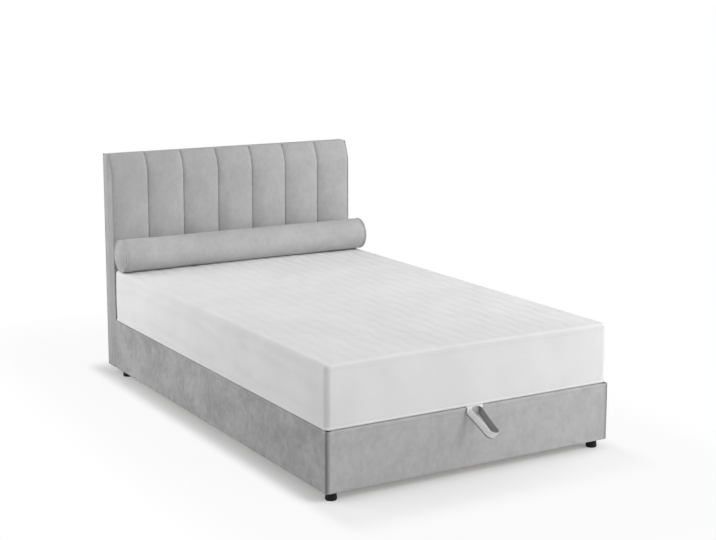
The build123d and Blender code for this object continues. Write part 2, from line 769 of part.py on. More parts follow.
with BuildPart() as mattress_cover:
    inner_width = 2 * (mattress_x - mattress_skin)
    inner_length = mattress_length - 2 * mattress_skin
    inner_radius = mattress_corner_radius - mattress_skin
    with BuildSketch(Plane.XY.offset(mattress_bottom)):
        with Locations((0, mattress_middle_y)):
            RectangleRounded(2 * mattress_x, mattress_length, mattress_corner_radius)
    extrude(amount=top_panel_bottom - mattress_bottom)
    fillet(mattress_cover.faces().sort_by(Axis.Z)[0].edges(), mattress_bottom_radius)
    with BuildSketch(Plane.XY.offset(mattress_bottom + mattress_skin)):
        with Locations((0, mattress_middle_y)):
            RectangleRounded(inner_width, inner_length, inner_radius)
    extrude(amount=top_panel_bottom - mattress_bottom - mattress_skin, mode=Mode.SUBTRACT)
save(mattress_cover.part, "mattress_cover")

foam_levels = (mattress_bottom + mattress_skin, top_panel_bottom - mattress_foam_thickness)
with BuildPart() as mattress_foams:
    for level in foam_levels:
        with BuildSketch(Plane.XY.offset(level)):
            with Locations((0, mattress_middle_y)):
                RectangleRounded(inner_width, inner_length, inner_radius)
        extrude(amount=mattress_foam_thickness)
save(mattress_foams.part, "mattress_foams")

core_bottom = foam_levels[0] + mattress_foam_thickness
core_height = foam_levels[1] - core_bottom
core_width = inner_width - 2 * mattress_edge_foam
core_length = inner_length - 2 * mattress_edge_foam
with BuildPart() as mattress_edge:
    with BuildSketch(Plane.XY.offset(core_bottom)):
        with Locations((0, mattress_middle_y)):
            RectangleRounded(inner_width, inner_length, inner_radius)
            Rectangle(core_width, core_length, mode=Mode.SUBTRACT)
    extrude(amount=core_height)
save(mattress_edge.part, "mattress_edge_foam")

with BuildPart() as mattress_springs:
    with BuildSketch(Plane.XY.offset(core_bottom)):
        spring_strings(core_width, core_length, mattress_pocket_diameter, mattress_middle_y)
    extrude(amount=core_height)
save(mattress_springs.part, "mattress_springs")

# Bolster: soft roll with domed, piped ends, lying on the mattress against the headboard
bolster_radius = bolster_diameter / 2
bolster_length = box_width - 2 * bolster_end_inset
bolster_bottom = mattress_top + mattress_crown + bolster_rest_gap
bolster_y = head_y - bolster_head_gap - bolster_radius
bolster_z = bolster_bottom + bolster_radius - bolster_flat
bolster_axis = Axis((0, bolster_y, bolster_z), (1, 0, 0))
bolster_plane = Plane(origin=(0, bolster_y, bolster_z), x_dir=(1, 0, 0), z_dir=(0, -1, 0))
with BuildPart() as bolster_cover:
    half = bolster_length / 2
    with BuildSketch(bolster_plane):
        with BuildLine():
            Line((-half, bolster_radius), (half, bolster_radius))
            SagittaArc((half, bolster_radius), (half, -bolster_radius), bolster_dome)
            Line((half, -bolster_radius), (-half, -bolster_radius))
            SagittaArc((-half, -bolster_radius), (-half, bolster_radius), bolster_dome)
        make_face()
        with Locations((0, -bolster_radius)):
            Rectangle(2 * bolster_length, bolster_diameter, mode=Mode.SUBTRACT)
    revolve(axis=bolster_axis)
    for sign in (-1, 1):
        with Locations(Location((sign * half, bolster_y, bolster_z), (0, 90, 0))):
            Torus(bolster_radius - piping_radius / 2, piping_radius)
    inner_half = half - bolster_skin
    rod_x((-inner_half, inner_half), (bolster_y, bolster_z), bolster_radius - bolster_skin, Mode.SUBTRACT)
    x_span = (-bolster_length, bolster_length)
    y_span = (bolster_y - bolster_radius, bolster_y + bolster_radius)
    block(x_span, y_span, (bolster_bottom - bolster_radius, bolster_bottom), Mode.SUBTRACT)
save(bolster_cover.part, "bolster_cover")

with BuildPart() as bolster_fill:
    rod_x((-inner_half, inner_half), (bolster_y, bolster_z), bolster_radius - bolster_skin)
save(bolster_fill.part, "bolster_fill")

# Headboard: front pad with upright channels that sweeps back over the top
border_x = outer_x - border_thickness
pad_back_y = head_y + headboard_thickness - back_cover_thickness - back_rail_thickness - core_thickness
pad_bottom = box_top + pad_bottom_gap
pad_top = headboard_top - border_thickness
sweep_start = headboard_top - sweep_height
sweep_radius = (sweep_height ** 2 + sweep_depth ** 2) / (2 * sweep_depth)
sweep_axis = Axis((0, head_y + sweep_radius, sweep_start), (-1, 0, 0))
channel_pitch = 2 * border_x / channel_count


def pad_plan():
    """Front line of the pad seen from above: one shallow arc for each channel."""
    seam_y = head_y + channel_crown
    for channel in range(channel_count):
        left_x = channel * channel_pitch - border_x
        right_x = left_x + channel_pitch
        ThreePointArc((left_x, seam_y), ((left_x + right_x) / 2, head_y), (right_x, seam_y))
    Polyline((border_x, seam_y), (border_x, pad_back_y), (-border_x, pad_back_y), (-border_x, seam_y))


with BuildPart() as headboard_pad:
    with BuildSketch(Plane.XY.offset(pad_bottom)):
        with BuildLine():
            pad_plan()
        make_face()
    extrude(amount=sweep_start - pad_bottom)
    with BuildSketch(Plane.XY.offset(sweep_start)):
        with BuildLine():
            pad_plan()
        make_face()
    revolve(axis=sweep_axis, revolution_arc=sweep_turn)
    block((-outer_x, outer_x), (head_y, pad_back_y), (pad_bottom, pad_top), Mode.INTERSECT)
save(headboard_pad.part, "headboard_pad")

with BuildPart() as headboard_base:
    block((-border_x, border_x), (head_y, head_y + cover_thickness), (box_bottom, box_top))
    headboard_bolts_at(screw_clearance, Mode.SUBTRACT)
save(headboard_base.part, "headboard_base_pad")

with BuildPart() as headboard_posts:
    for sign in (-1, 1):
        middle = sign * (board_inner_x - post_inset)
        x_span = (middle - post_width / 2, middle + post_width / 2)
        block(x_span, (head_y + cover_thickness, pad_back_y), (box_bottom + post_drop, box_top))
    headboard_bolts_at(screw_clearance, Mode.SUBTRACT)
save(headboard_posts.part, "headboard_posts")

with BuildPart() as headboard_core:
    block((-border_x, border_x), (pad_back_y, pad_back_y + core_thickness), (box_bottom + post_drop, pad_top))
save(headboard_core.part, "headboard_core")

rail_y = pad_back_y + core_thickness
rail_pitch = (2 * border_x - back_rail_width) / (back_rail_count - 1)
with BuildPart() as headboard_rails:
    for rail in range(back_rail_count):
        left_x = rail * rail_pitch - border_x
        x_span = (left_x, left_x + back_rail_width)
        block(x_span, (rail_y, rail_y + back_rail_thickness), (box_bottom + post_drop, pad_top))
save(headboard_rails.part, "headboard_rails")

back_y = rail_y + back_rail_thickness
with BuildPart() as headboard_back:
    block((-outer_x, outer_x), (back_y, back_y + back_cover_thickness), (box_bottom, headboard_top))
save(headboard_back.part, "headboard_back")

border_radius = sweep_radius - channel_crown
border_front_y = head_y + channel_crown
border_top_y = head_y + sweep_radius - sqrt(border_radius ** 2 - sweep_height ** 2)
with BuildPart() as headboard_border:
    for side, sign in sides:
        with BuildSketch(Plane.YZ.offset(min(sign * border_x, sign * outer_x))):
            with BuildLine():
                Polyline((border_top_y, headboard_top), (back_y, headboard_top), (back_y, box_bottom),
                         (border_front_y, box_bottom), (border_front_y, sweep_start))
                RadiusArc((border_front_y, sweep_start), (border_top_y, headboard_top), border_radius)
            make_face()
        extrude(amount=border_thickness)
    block((-border_x, border_x), (border_top_y, back_y), (pad_top, headboard_top))
save(headboard_border.part, "headboard_border")

with BuildPart() as headboard_bolts:
    headboard_bolts_at(0)
save(headboard_bolts.part, "headboard_bolts")
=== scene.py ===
"""Box spring bed with a lift-up storage box, a channelled headboard, a bolster and a pull strap."""

import json
from math import cos, exp, hypot, pi, sin, sqrt

import bmesh
import bpy
from bpy.props import FloatProperty, FloatVectorProperty, IntProperty, PointerProperty
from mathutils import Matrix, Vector, noise

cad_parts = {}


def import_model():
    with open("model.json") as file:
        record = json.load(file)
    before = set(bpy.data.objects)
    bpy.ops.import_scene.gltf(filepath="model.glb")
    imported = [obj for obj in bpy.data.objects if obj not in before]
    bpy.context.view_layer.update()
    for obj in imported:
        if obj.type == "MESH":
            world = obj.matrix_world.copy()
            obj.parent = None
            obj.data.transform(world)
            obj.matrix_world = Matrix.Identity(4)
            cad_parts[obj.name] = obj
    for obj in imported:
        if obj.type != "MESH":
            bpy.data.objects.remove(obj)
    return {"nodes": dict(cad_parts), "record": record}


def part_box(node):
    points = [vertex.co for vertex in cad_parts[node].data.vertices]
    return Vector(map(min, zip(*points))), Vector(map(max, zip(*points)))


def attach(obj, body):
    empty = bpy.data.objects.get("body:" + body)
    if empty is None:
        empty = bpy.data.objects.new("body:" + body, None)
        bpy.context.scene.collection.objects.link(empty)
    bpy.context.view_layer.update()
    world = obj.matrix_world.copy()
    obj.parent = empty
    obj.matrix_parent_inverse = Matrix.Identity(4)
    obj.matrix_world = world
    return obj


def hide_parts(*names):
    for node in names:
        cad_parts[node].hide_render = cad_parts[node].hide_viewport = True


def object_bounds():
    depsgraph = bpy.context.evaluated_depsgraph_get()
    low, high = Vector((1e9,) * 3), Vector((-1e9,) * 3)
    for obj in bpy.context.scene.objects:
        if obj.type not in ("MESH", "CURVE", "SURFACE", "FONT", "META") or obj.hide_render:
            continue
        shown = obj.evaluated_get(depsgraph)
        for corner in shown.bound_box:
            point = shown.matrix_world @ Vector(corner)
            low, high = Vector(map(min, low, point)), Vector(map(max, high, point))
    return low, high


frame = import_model()

bl_info = {
    "name": "Box spring bed",
    "version": (1, 0, 0),
    "blender": (4, 5, 0),
    "location": "3D View > Sidebar > Bed",
    "description": "Upholstered storage bed with its cloth, fittings and studio",
    "category": "Add Mesh",
}

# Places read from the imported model, in metres
cad_low, cad_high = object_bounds()
rim_low, rim_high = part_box("foot_cover")
mattress_low, mattress_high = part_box("mattress_cover")
top_low, top_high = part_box("mattress_top")
pad_low, pad_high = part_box("headboard_pad")
border_low, border_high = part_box("headboard_border")
back_low, back_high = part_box("headboard_back")
board_low, board_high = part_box("side_board_right")
foot_board_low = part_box("foot_board")[0]
roll_low, roll_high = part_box("bolster_cover")
lid_low, lid_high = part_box("lid_cover")
rail_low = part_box("lid_foot_rail")[0]
base_low, base_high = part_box("headboard_base_pad")

both_sides = (("left", -1), ("right", 1))

# Fall of the mattress's top from its middle to its sides, in metres
top_crown = 0.005
# Length of a velvet cover's rounded ends, in metres
end_turn = 0.006


class BedSizes(bpy.types.PropertyGroup):
    """Sizes of the bed's cloth work."""

    def length(name, description, default):
        return FloatProperty(name=name, description=description, default=default, min=0, unit="LENGTH")

    def angle(name, description, default):
        return FloatProperty(name=name, description=description, default=default, unit="ROTATION")

    def share(name, description, default):
        return FloatProperty(name=name, description=description, default=default)

    channels: IntProperty(name="Channels", description="Upright channels of the headboard", default=7, min=1)
    channel_depth: length("Channel depth", "How far a channel's crest stands before its seam", 0.0055)
    seam_pinch: length("Seam pinch", "Extra depth of the crease at each seam", 0.0020)
    seam_roll: length("Seam roll", "How far the cloth rolls in over the last stretch before a seam", 0.006)
    band_width: length("Band width", "Width of the band round the headboard's edge, from its back", 0.050)
    pucker_depth: length("Pucker depth", "Height of the small folds that a sewn seam draws", 0.0009)
    sweep_height: length("Sweep height", "Height over which the headboard curves back", 0.120)
    sweep_depth: length("Sweep depth", "How far the headboard's top lies back", 0.042)
    quilt_pitch: length("Quilt pitch", "Distance between the mattress top's quilting lines", 0.062)
    quilt_depth: length("Quilt depth", "Depth of the mattress top's quilting", 0.0045)
    quilt_wave: length("Quilt wave", "How far a quilting line swings to each side", 0.010)
    quilt_wave_length: length("Quilt wave length", "Length of one swing of a quilting line", 0.21)
    mattress_corner: length("Mattress corner", "Radius of the mattress's upright corners", 0.022)
    mattress_edge: length("Mattress edge", "Radius of the mattress's top edge", 0.011)
    mattress_spread: length("Mattress spread", "How far the mattress stands wider at each side", 0.006)
    mattress_bulge: length("Mattress bulge", "How far the mattress's sides stand out half way up", 0.002)
    rim_seam_drop: length("Rim seam drop", "Distance of the sewn rim line below the box's top", 0.018)
    rim_seam_depth: length("Rim seam depth", "Depth of the sewn rim line", 0.0012)
    roll_piping: length("Roll piping", "Radius of the cord sewn round the bolster's ends", 0.0055)
    roll_dome: length("Roll dome", "Height of the bolster's domed ends", 0.022)
    strap_width: length("Strap width", "Width of the pull strap's webbing", 0.028)
    strap_thickness: length("Strap thickness", "Thickness of the pull strap's webbing", 0.0024)
    strap_spacing: length("Strap spacing", "Distance between the pull strap's legs", 0.036)
    strap_leg: length("Strap leg", "Length of the pull strap's straight legs", 0.132)
    strap_splay: share("Strap splay", "Share by which the strap's legs stand wider apart at the bed", 0.50)
    strap_droop: angle("Strap droop", "How far the strap hangs below level", 28 * pi / 180)
    strap_skew: share("Strap skew", "How far the strap hangs to the right, as a share of its reach", 0.055)
    strap_lean: angle("Strap lean", "How far the strap's left leg leans on its side", 0.80)


class BedColours(bpy.types.PropertyGroup):
    """Colours of the bed's finishes."""

    def colour(name, description, default):
        return FloatVectorProperty(
            name=name, description=description, default=default, subtype="COLOR", size=3, min=0, max=1
        )

    velvet: colour("Box velvet", "Upholstery of the box's sides", (0.41, 0.41, 0.415))
    # Painted light: the foot's velvet is a lighter copy of the box's velvet, for the light that falls on the
    # box's foot
    foot_velvet: colour("Foot velvet", "Upholstery of the box's foot", (0.475, 0.475, 0.48))
    headboard_velvet: colour("Headboard velvet", "Front of the headboard", (0.443, 0.443, 0.448))
    # Painted light: a copy of the velvet in its own shade, set for the sheen and light on the headboard's
    # edge
    band_velvet: colour("Band velvet", "Band round the headboard's edge", (0.405, 0.405, 0.41))
    # Painted shade: a darker copy of the velvet than the headboard's front, for the shade on the pad's side
    # faces
    flank_velvet: colour(
        "Flank velvet", "Sides of the headboard's pad, where the pile lies the other way", (0.39, 0.39, 0.395)
    )
    bolster_velvet: colour("Bolster velvet", "Upholstery of the bolster", (0.465, 0.465, 0.47))
    mattress_cloth: colour("Mattress cloth", "Cover of the mattress", (0.82, 0.82, 0.825))
    foam: colour("Foam", "Foam inside the mattress and bolster", (0.80, 0.76, 0.62))
    spring_pockets: colour("Spring pockets", "Cloth pockets of the springs", (0.78, 0.78, 0.75))
    felt: colour("Felt", "Cloth on the headboard's back", (0.055, 0.055, 0.058))
    lid_felt: colour("Lid felt", "Cloth on the lid under the mattress", (0.30, 0.30, 0.305))
    webbing: colour("Webbing", "Outer face of the pull strap", (0.90, 0.90, 0.905))
    # Painted shade: a darker copy of the webbing for the loop's inner side and one edge, where shade falls
    webbing_lining: colour("Webbing lining", "Inner face of the pull strap", (0.42, 0.42, 0.423))
    board: colour("Board", "Boards and battens", (0.56, 0.42, 0.26))
    panel: colour("Panel", "Storage floor", (0.50, 0.43, 0.34))
    steel: colour("Steel", "Zinc plated fittings", (0.56, 0.57, 0.58))
    black_steel: colour("Black steel", "Gas spring cylinders", (0.016, 0.016, 0.018))
    chrome_rod: colour("Rod", "Gas spring rods", (0.72, 0.73, 0.75))
    black_plastic: colour("Black plastic", "Glides", (0.005, 0.005, 0.0055))
    floor: colour("Floor", "Studio floor", (0.86, 0.86, 0.86))


class Term:
    """A value in a finish that can be used in sums with numbers and other values."""

    def __init__(self, look, socket):
        self.look, self.socket = look, socket

    def work(self, operation, *terms):
        return self.look.node("ShaderNodeMath", {"operation": operation}, dict(enumerate(terms)))

    def __add__(self, other):
        return self.work("ADD", self, other)

    def __sub__(self, other):
        return self.work("SUBTRACT", self, other)

    def __rsub__(self, other):
        return self.work("SUBTRACT", other, self)

    def __mul__(self, other):
        return self.work("MULTIPLY", self, other)

    __radd__ = __add__
    __rmul__ = __mul__

    def sine(self):
        return self.work("SINE", self)

    def size(self):
        return self.work("ABSOLUTE", self)

    def root(self):
        return self.work("SQRT", self)

    def highest(self, other):
        return self.work("MAXIMUM", self, other)

    def ramp(self, low, high):
        """Smooth step from 0 at the low value to 1 at the high one."""
        settings = {"interpolation_type": "SMOOTHSTEP"}
        return self.look.node("ShaderNodeMapRange", settings, {"Value": self, 1: low, 2: high})


class Look:
    """The nodes of one finish, or of the studio's light, written as sums of terms."""

    def __init__(self, owner, fixed=(), shader="Principled BSDF"):
        """Start on a new material or world, and set what is the same all over its shader."""
        owner.use_nodes = True
        self.tree = owner.node_tree
        self.shader = self.tree.nodes[shader]
        for socket, value in dict(fixed).items():
            self.shader.inputs[socket].default_value = value

    def node(self, kind, settings=(), inputs=(), out=0):
        """One node, its settings set first, then the values and links of its sockets."""
        made = self.tree.nodes.new(kind)
        for setting, value in dict(settings).items():
            setattr(made, setting, value)
        for socket, value in dict(inputs).items():
            if isinstance(value, Term):
                self.tree.links.new(value.socket, made.inputs[socket])
            else:
                made.inputs[socket].default_value = value
        return Term(self, made.outputs[out])

    def place(self, stretch=(1, 1, 1)):
        """Place on the piece in metres, stretched along each axis."""
        spot = self.node("ShaderNodeTexCoord", out="Object")
        return self.node("ShaderNodeMapping", inputs={"Vector": spot, "Scale": stretch})

    def axis(self, name):
        return self.node("ShaderNodeSeparateXYZ", inputs={"Vector": self.place()}, out="XYZ".index(name))

    def clouds(self, scale, detail=2, stretch=(1, 1, 1)):
        """Soft noise from 0 to 1."""
        inputs = {"Vector": self.place(stretch), "Scale": scale, "Detail": detail}
        return self.node("ShaderNodeTexNoise", inputs=inputs)

    def cells(self, scale, stretch=(1, 1, 1)):
        """Distance from the middle of scattered cells."""
        return self.node("ShaderNodeTexVoronoi", inputs={"Vector": self.place(stretch), "Scale": scale})

    def paint(self, first, second, share):
        """Colour between two colours."""
        inputs = {0: share, 6: first, 7: second}
        return self.node("ShaderNodeMix", {"data_type": "RGBA"}, inputs, out=2)

    def feed(self, socket, term):
        self.tree.links.new(term.socket, self.shader.inputs[socket])

    def tint(self, colour, low, high, share):
        """Base colour that goes from a lower to a higher share of the finish's colour."""
        self.feed("Base Color", self.paint(shade(colour, low), shade(colour, high), share))

    def relief(self, height, depth):
        """Raise and lower the surface by a share of a depth in metres."""
        self.feed("Normal", self.node("ShaderNodeBump", inputs={"Height": height, "Distance": depth}))


def shade(colour, share):
    """A colour made lighter or darker, with full cover."""
    return tuple(min(1, part * share) for part in colour) + (1,)


def velvet_look(material, colour, patchy, creased=False):
    """Short pile that lies in patches, with painted shade in the creases where the foot meets the sides."""
    look = Look(material, {"Sheen Weight": 0.22, "Sheen Roughness": 0.4, "Specular IOR Level": 0.15})
    drift = look.clouds(3.2, 3, (1, 0.7, 1))
    patches = look.clouds(15, 4, (1, 0.6, 0.9))
    brushed = look.clouds(60, 3, (1, 0.7, 0.8))
    pile = look.clouds(1100, 1)
    tone = drift * 0.3 + patches * 0.33 + brushed * 0.27 + pile * 0.1
    painted = look.paint(shade(colour, 1 - patchy), shade(colour, 1 + patchy), tone.ramp(0.36, 0.64))
    if creased:
        # Painted shade: within 2 cm of each front corner of the box, where the foot meets the sides, the base
        # colour goes towards half its shade
        far, near = 0.020, 0.001
        near_side = look.axis("X").size().ramp(rim_high.x - far, rim_high.x - near)
        near_foot = (0 - look.axis("Y")).ramp(-rim_low.y - far, -rim_low.y - near)
        painted = look.paint(painted, shade(colour, 0.5), near_side * near_foot)
    look.feed("Base Color", painted)
    look.feed("Roughness", 0.8 + 0.15 * patches)
    look.relief(pile * 0.6 + brushed * 2 * patchy + patches * 2 * patchy, 0.0007)


def mattress_cloth_look(material, colour):
    """Fine knitted cloth with a soft, slightly open face."""
    look = Look(material, {"Sheen Weight": 0.1, "Sheen Roughness": 0.5, "Specular IOR Level": 0.2})
    stitches = look.clouds(760, 2)
    across = (look.axis("X") * 2600).sine() * (look.axis("Y") * 2600 + look.axis("Z") * 2600).sine()
    drift = look.clouds(5, 3)
    tone = drift * 0.6 + stitches * 0.4
    look.tint(colour, 0.965, 1.03, tone.ramp(0.35, 0.65))
    look.feed("Roughness", 0.78 + 0.12 * stitches)
    look.relief(stitches * 0.5 + across * 0.25 + drift * 0.6, 0.0005)


def felt_look(material, colour):
    """Pressed fibres with small pressed dots."""
    look = Look(material, {"Specular IOR Level": 0.15})
    fibres = look.clouds(420, 4, (1, 1, 0.6))
    dots = (look.axis("X") * 1500).sine() * (look.axis("Y") * 1500 + look.axis("Z") * 1500).sine()
    drift = look.clouds(9, 3)
    tone = fibres * 0.7 + drift * 0.3
    look.tint(colour, 0.7, 1.5, tone.ramp(0.3, 0.7))
    look.feed("Roughness", 0.85 + 0.1 * fibres)
    look.relief(fibres * 0.6 + dots * 0.3, 0.0006)


def webbing_look(material, colour):
    """Woven tape with a tight diagonal weave."""
    look = Look(material, {"Sheen Weight": 0.15, "Specular IOR Level": 0.2})
    twill = (look.axis("X") * 1900 + look.axis("Y") * 1900 + look.axis("Z") * 3100).sine()
    ends = (look.axis("Y") * 2700 - look.axis("Z") * 2700).sine()
    fibres = look.clouds(500, 3)
    tone = twill * 0.25 + ends * 0.15 + fibres * 0.6
    look.tint(colour, 0.8, 1.15, tone.ramp(0.0, 0.6))
    look.feed("Roughness", 0.75 + 0.15 * fibres)
    look.relief(tone, 0.0006)


def board_look(material, colour):
    """Raw softwood and chip board: long grain, pores and small chips."""
    look = Look(material, {"Specular IOR Level": 0.3})
    grain = look.clouds(34, 5, (1, 0.06, 1))
    fine = look.clouds(240, 3, (1, 0.08, 1))
    chips = look.cells(190, (1, 0.5, 1))
    drift = look.clouds(3, 2)
    tone = grain * 0.45 + fine * 0.2 + chips * 0.2 + drift * 0.15
    look.tint(colour, 0.72, 1.25, tone.ramp(0.28, 0.66))
    look.feed("Roughness", 0.62 + 0.2 * fine)
    look.relief(fine * 0.5 + chips * 0.3, 0.0004)


def panel_look(material, colour):
    """Thin fibre board with scattered darker fibres."""
    look = Look(material, {"Specular IOR Level": 0.3})
    fibres = look.clouds(300, 4, (1, 0.5, 1))
    flecks = look.cells(120)
    drift = look.clouds(4, 3)
    tone = fibres * 0.5 + flecks * 0.25 + drift * 0.25
    look.tint(colour, 0.8, 1.18, tone.ramp(0.3, 0.65))
    look.feed("Roughness", 0.6 + 0.2 * fibres)
    look.relief(fibres, 0.0002)


def metal_look(material, colour, roughness, spread, marks):
    """Metal with fine marks of a depth in metres, and a little spread in its roughness."""
    look = Look(material, {"Metallic": 1})
    cloudy = look.clouds(45, 4)
    scratches = look.clouds(700, 2, (1, 0.12, 1))
    tone = cloudy * 0.7 + scratches * 0.3
    look.tint(colour, 0.86, 1.1, tone.ramp(0.3, 0.7))
    look.feed("Roughness", roughness + spread * cloudy)
    look.relief(scratches, marks)


def coated_look(material, colour, roughness, fineness, gloss):
    """Black coat or moulded plastic with a fine grain and paler wear."""
    look = Look(material, {"Specular IOR Level": gloss})
    grain = look.clouds(fineness, 3)
    wear = look.clouds(60, 5)
    look.tint(colour, 0.9, 2.4, wear.ramp(0.5, 0.78))
    look.feed("Roughness", roughness + 0.2 * wear)
    look.relief(grain, 0.0001)


def foam_look(material, colour):
    """Cut foam with open cells."""
    look = Look(material, {"Specular IOR Level": 0.15})
    pores = look.cells(620)
    drift = look.clouds(8, 3)
    tone = pores * 0.6 + drift * 0.4
    look.tint(colour, 0.8, 1.1, tone.ramp(0.1, 0.6))
    look.feed("Roughness", 0.85 + 0.1 * drift)
    look.relief(pores, 0.0006)


def pocket_look(material, colour):
    """Thin bonded cloth with rows of pressed dots and upright folds."""
    look = Look(material, {"Specular IOR Level": 0.2})
    dots = (look.axis("X") * 1250).sine() * (look.axis("Z") * 1250).sine()
    folds = look.clouds(90, 4, (1, 1, 0.15))
    tone = folds * 0.8 + dots * 0.2
    look.tint(colour, 0.86, 1.08, tone.ramp(0.2, 0.7))
    look.feed("Roughness", 0.75 + 0.15 * folds)
    look.relief(folds + dots * 0.2, 0.0008)


# Each finish's slot in the record, and what makes it, with the values of its own
finishes = {
    "velvet": ("velvet", velvet_look, {"patchy": 0.20, "creased": True}),
    "foot_velvet": ("velvet", velvet_look, {"patchy": 0.10, "creased": True}),
    "headboard_velvet": ("velvet", velvet_look, {"patchy": 0.08}),
    "band_velvet": ("velvet", velvet_look, {"patchy": 0.07}),
    "flank_velvet": ("velvet", velvet_look, {"patchy": 0.07}),
    "bolster_velvet": ("velvet", velvet_look, {"patchy": 0.08}),
    "mattress_cloth": ("mattress_cloth", mattress_cloth_look, {}),
    "felt": ("felt", felt_look, {}),
    "lid_felt": ("felt", felt_look, {}),
    "webbing": ("webbing", webbing_look, {}),
    "webbing_lining": ("webbing", webbing_look, {}),
    "board": ("board", board_look, {}),
    "panel": ("panel", panel_look, {}),
    "foam": ("foam", foam_look, {}),
    "spring_pockets": ("spring_pockets", pocket_look, {}),
    "steel": ("steel", metal_look, {"roughness": 0.3, "spread": 0.25, "marks": 0.0001}),
    "chrome_rod": ("chrome_rod", metal_look, {"roughness": 0.1, "spread": 0.1, "marks": 0.00002}),
    "black_steel": ("black_steel", coated_look, {"roughness": 0.35, "fineness": 900, "gloss": 0.5}),
    "black_plastic": ("black_plastic", coated_look, {"roughness": 0.42, "fineness": 1400, "gloss": 0.2}),
}


def finish_of(name):
    """The finish with a colour's name, made when it is first asked for."""
    made = bpy.data.materials.get("bed_" + name)
    if made is None:
        made = bpy.data.materials.new("bed_" + name)
        slot, maker, values = finishes[name]
        maker(made, getattr(bpy.context.scene.bed_colours, name), **values)
    return made


def join_grid(rows, round_columns=False):
    """Points and faces of a grid of points, whose columns may go round."""
    width = len(rows[0])
    points = [tuple(point) for row in rows for point in row]
    faces = []
    for row in range(len(rows) - 1):
        for column in range(width if round_columns else width - 1):
            ahead = (column + 1) % width
            here, above = row * width, (row + 1) * width
            faces.append((here + column, here + ahead, above + ahead, above + column))
    return points, faces


def join_rings(rings):
    """Points and faces of a closed form made of rings of points, capped at its two ends."""
    points, faces = join_grid(rings, round_columns=True)
    width = len(rings[0])
    last = len(points) - width
    return points, faces + [tuple(range(width)), tuple(range(last, last + width))]


def make_piece(name, shapes, finish, body, stands_for=(), smooth=True):
    """Make a piece from one or more (points, faces) shapes, in its finish and on its body."""
    points, faces = [], []
    for shape_points, shape_faces in shapes:
        start = len(points)
        points += shape_points
        faces += [tuple(start + corner for corner in face) for face in shape_faces]
    mesh = bpy.data.meshes.new(name)
    mesh.from_pydata(points, [], faces)
    work = bmesh.new()
    work.from_mesh(mesh)
    bmesh.ops.remove_doubles(work, verts=work.verts, dist=0.00001)
    bmesh.ops.recalc_face_normals(work, faces=work.faces)
    for face in work.faces:
        face.smooth = smooth and len(face.verts) < 5
    work.to_mesh(mesh)
    work.free()
    piece = bpy.data.objects.new(name, mesh)
    bpy.context.scene.collection.objects.link(piece)
    mesh.materials.append(finish_of(finish))
    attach(piece, body)
    if stands_for:
        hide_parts(*stands_for)
    return piece


def steps(start, end, pitch):
    """Even places from start to end, about a pitch apart."""
    count = max(1, round(abs(end - start) / pitch))
    return [start + (end - start) * step / count for step in range(count + 1)]


def round_angles(count):
    """Even angles once round."""
    return [2 * pi * step / count for step in range(count)]


def share_of(value):
    """A value kept from 0 to 1."""
    return min(1, max(0, value))


def ripple(place, scale, height):
    """Smooth, repeatable unevenness at a place."""
    return noise.noise(Vector(place) * scale) * height


def swell(piece, pressure, reach, held):
    """Fill a closed piece by cloth simulation, each point kept near where it began."""
    scene = bpy.context.scene
    start = [vertex.co.copy() for vertex in piece.data.vertices]
    group = piece.vertex_groups.new(name="sewn")
    group.add(held, 1, "REPLACE")
    filling = piece.modifiers.new("filling", "CLOTH")
    filling.settings.quality = 6
    filling.settings.mass = 0.3
    filling.settings.tension_stiffness = 12
    filling.settings.compression_stiffness = 6
    filling.settings.bending_stiffness = 0.6
    filling.settings.use_pressure = True
    filling.settings.uniform_pressure_force = pressure
    filling.settings.effector_weights.gravity = 0
    filling.settings.vertex_group_mass = "sewn"
    filling.collision_settings.use_collision = False
    filling.point_cache.frame_start = 1
    filling.point_cache.frame_end = 20
    for frame_number in range(1, 21):
        scene.frame_set(frame_number)
    filled = piece.evaluated_get(bpy.context.evaluated_depsgraph_get()).to_mesh()
    ends = [vertex.co.copy() for vertex in filled.vertices]
    piece.modifiers.remove(filling)
    piece.vertex_groups.remove(group)
    scene.frame_set(1)
    for vertex, first, last in zip(piece.data.vertices, start, ends):
        move = last - first
        vertex.co = first + move * min(1, reach / max(move.length, 0.00001))


def wrapped_section(high, low, turn, thickness):
    """Closed section of cloth round a board's face: how far each point stands out, and its height."""
    edge = 0.004
    points = [(-turn, high)]
    points += [(outward, high) for outward in steps(-turn + 0.006, thickness - edge, 0.006)]
    points += [
        (thickness - edge * (1 - sin(angle)), high - edge * (1 - cos(angle)))
        for angle in steps(pi / 12, pi / 2, pi / 12)
    ]
    points += [(thickness, height) for height in steps(high - edge, low + edge, 0.0045)[1:-1]]
    points += [
        (thickness - edge * (1 - cos(angle)), low + edge * (1 - sin(angle)))
        for angle in steps(0, pi / 2, pi / 12)
    ]
    points += [(-turn, low), (-turn, low + thickness / 2), (0, low + thickness / 2)]
    points += [(0, high - thickness), (-turn, high - thickness)]
    return points


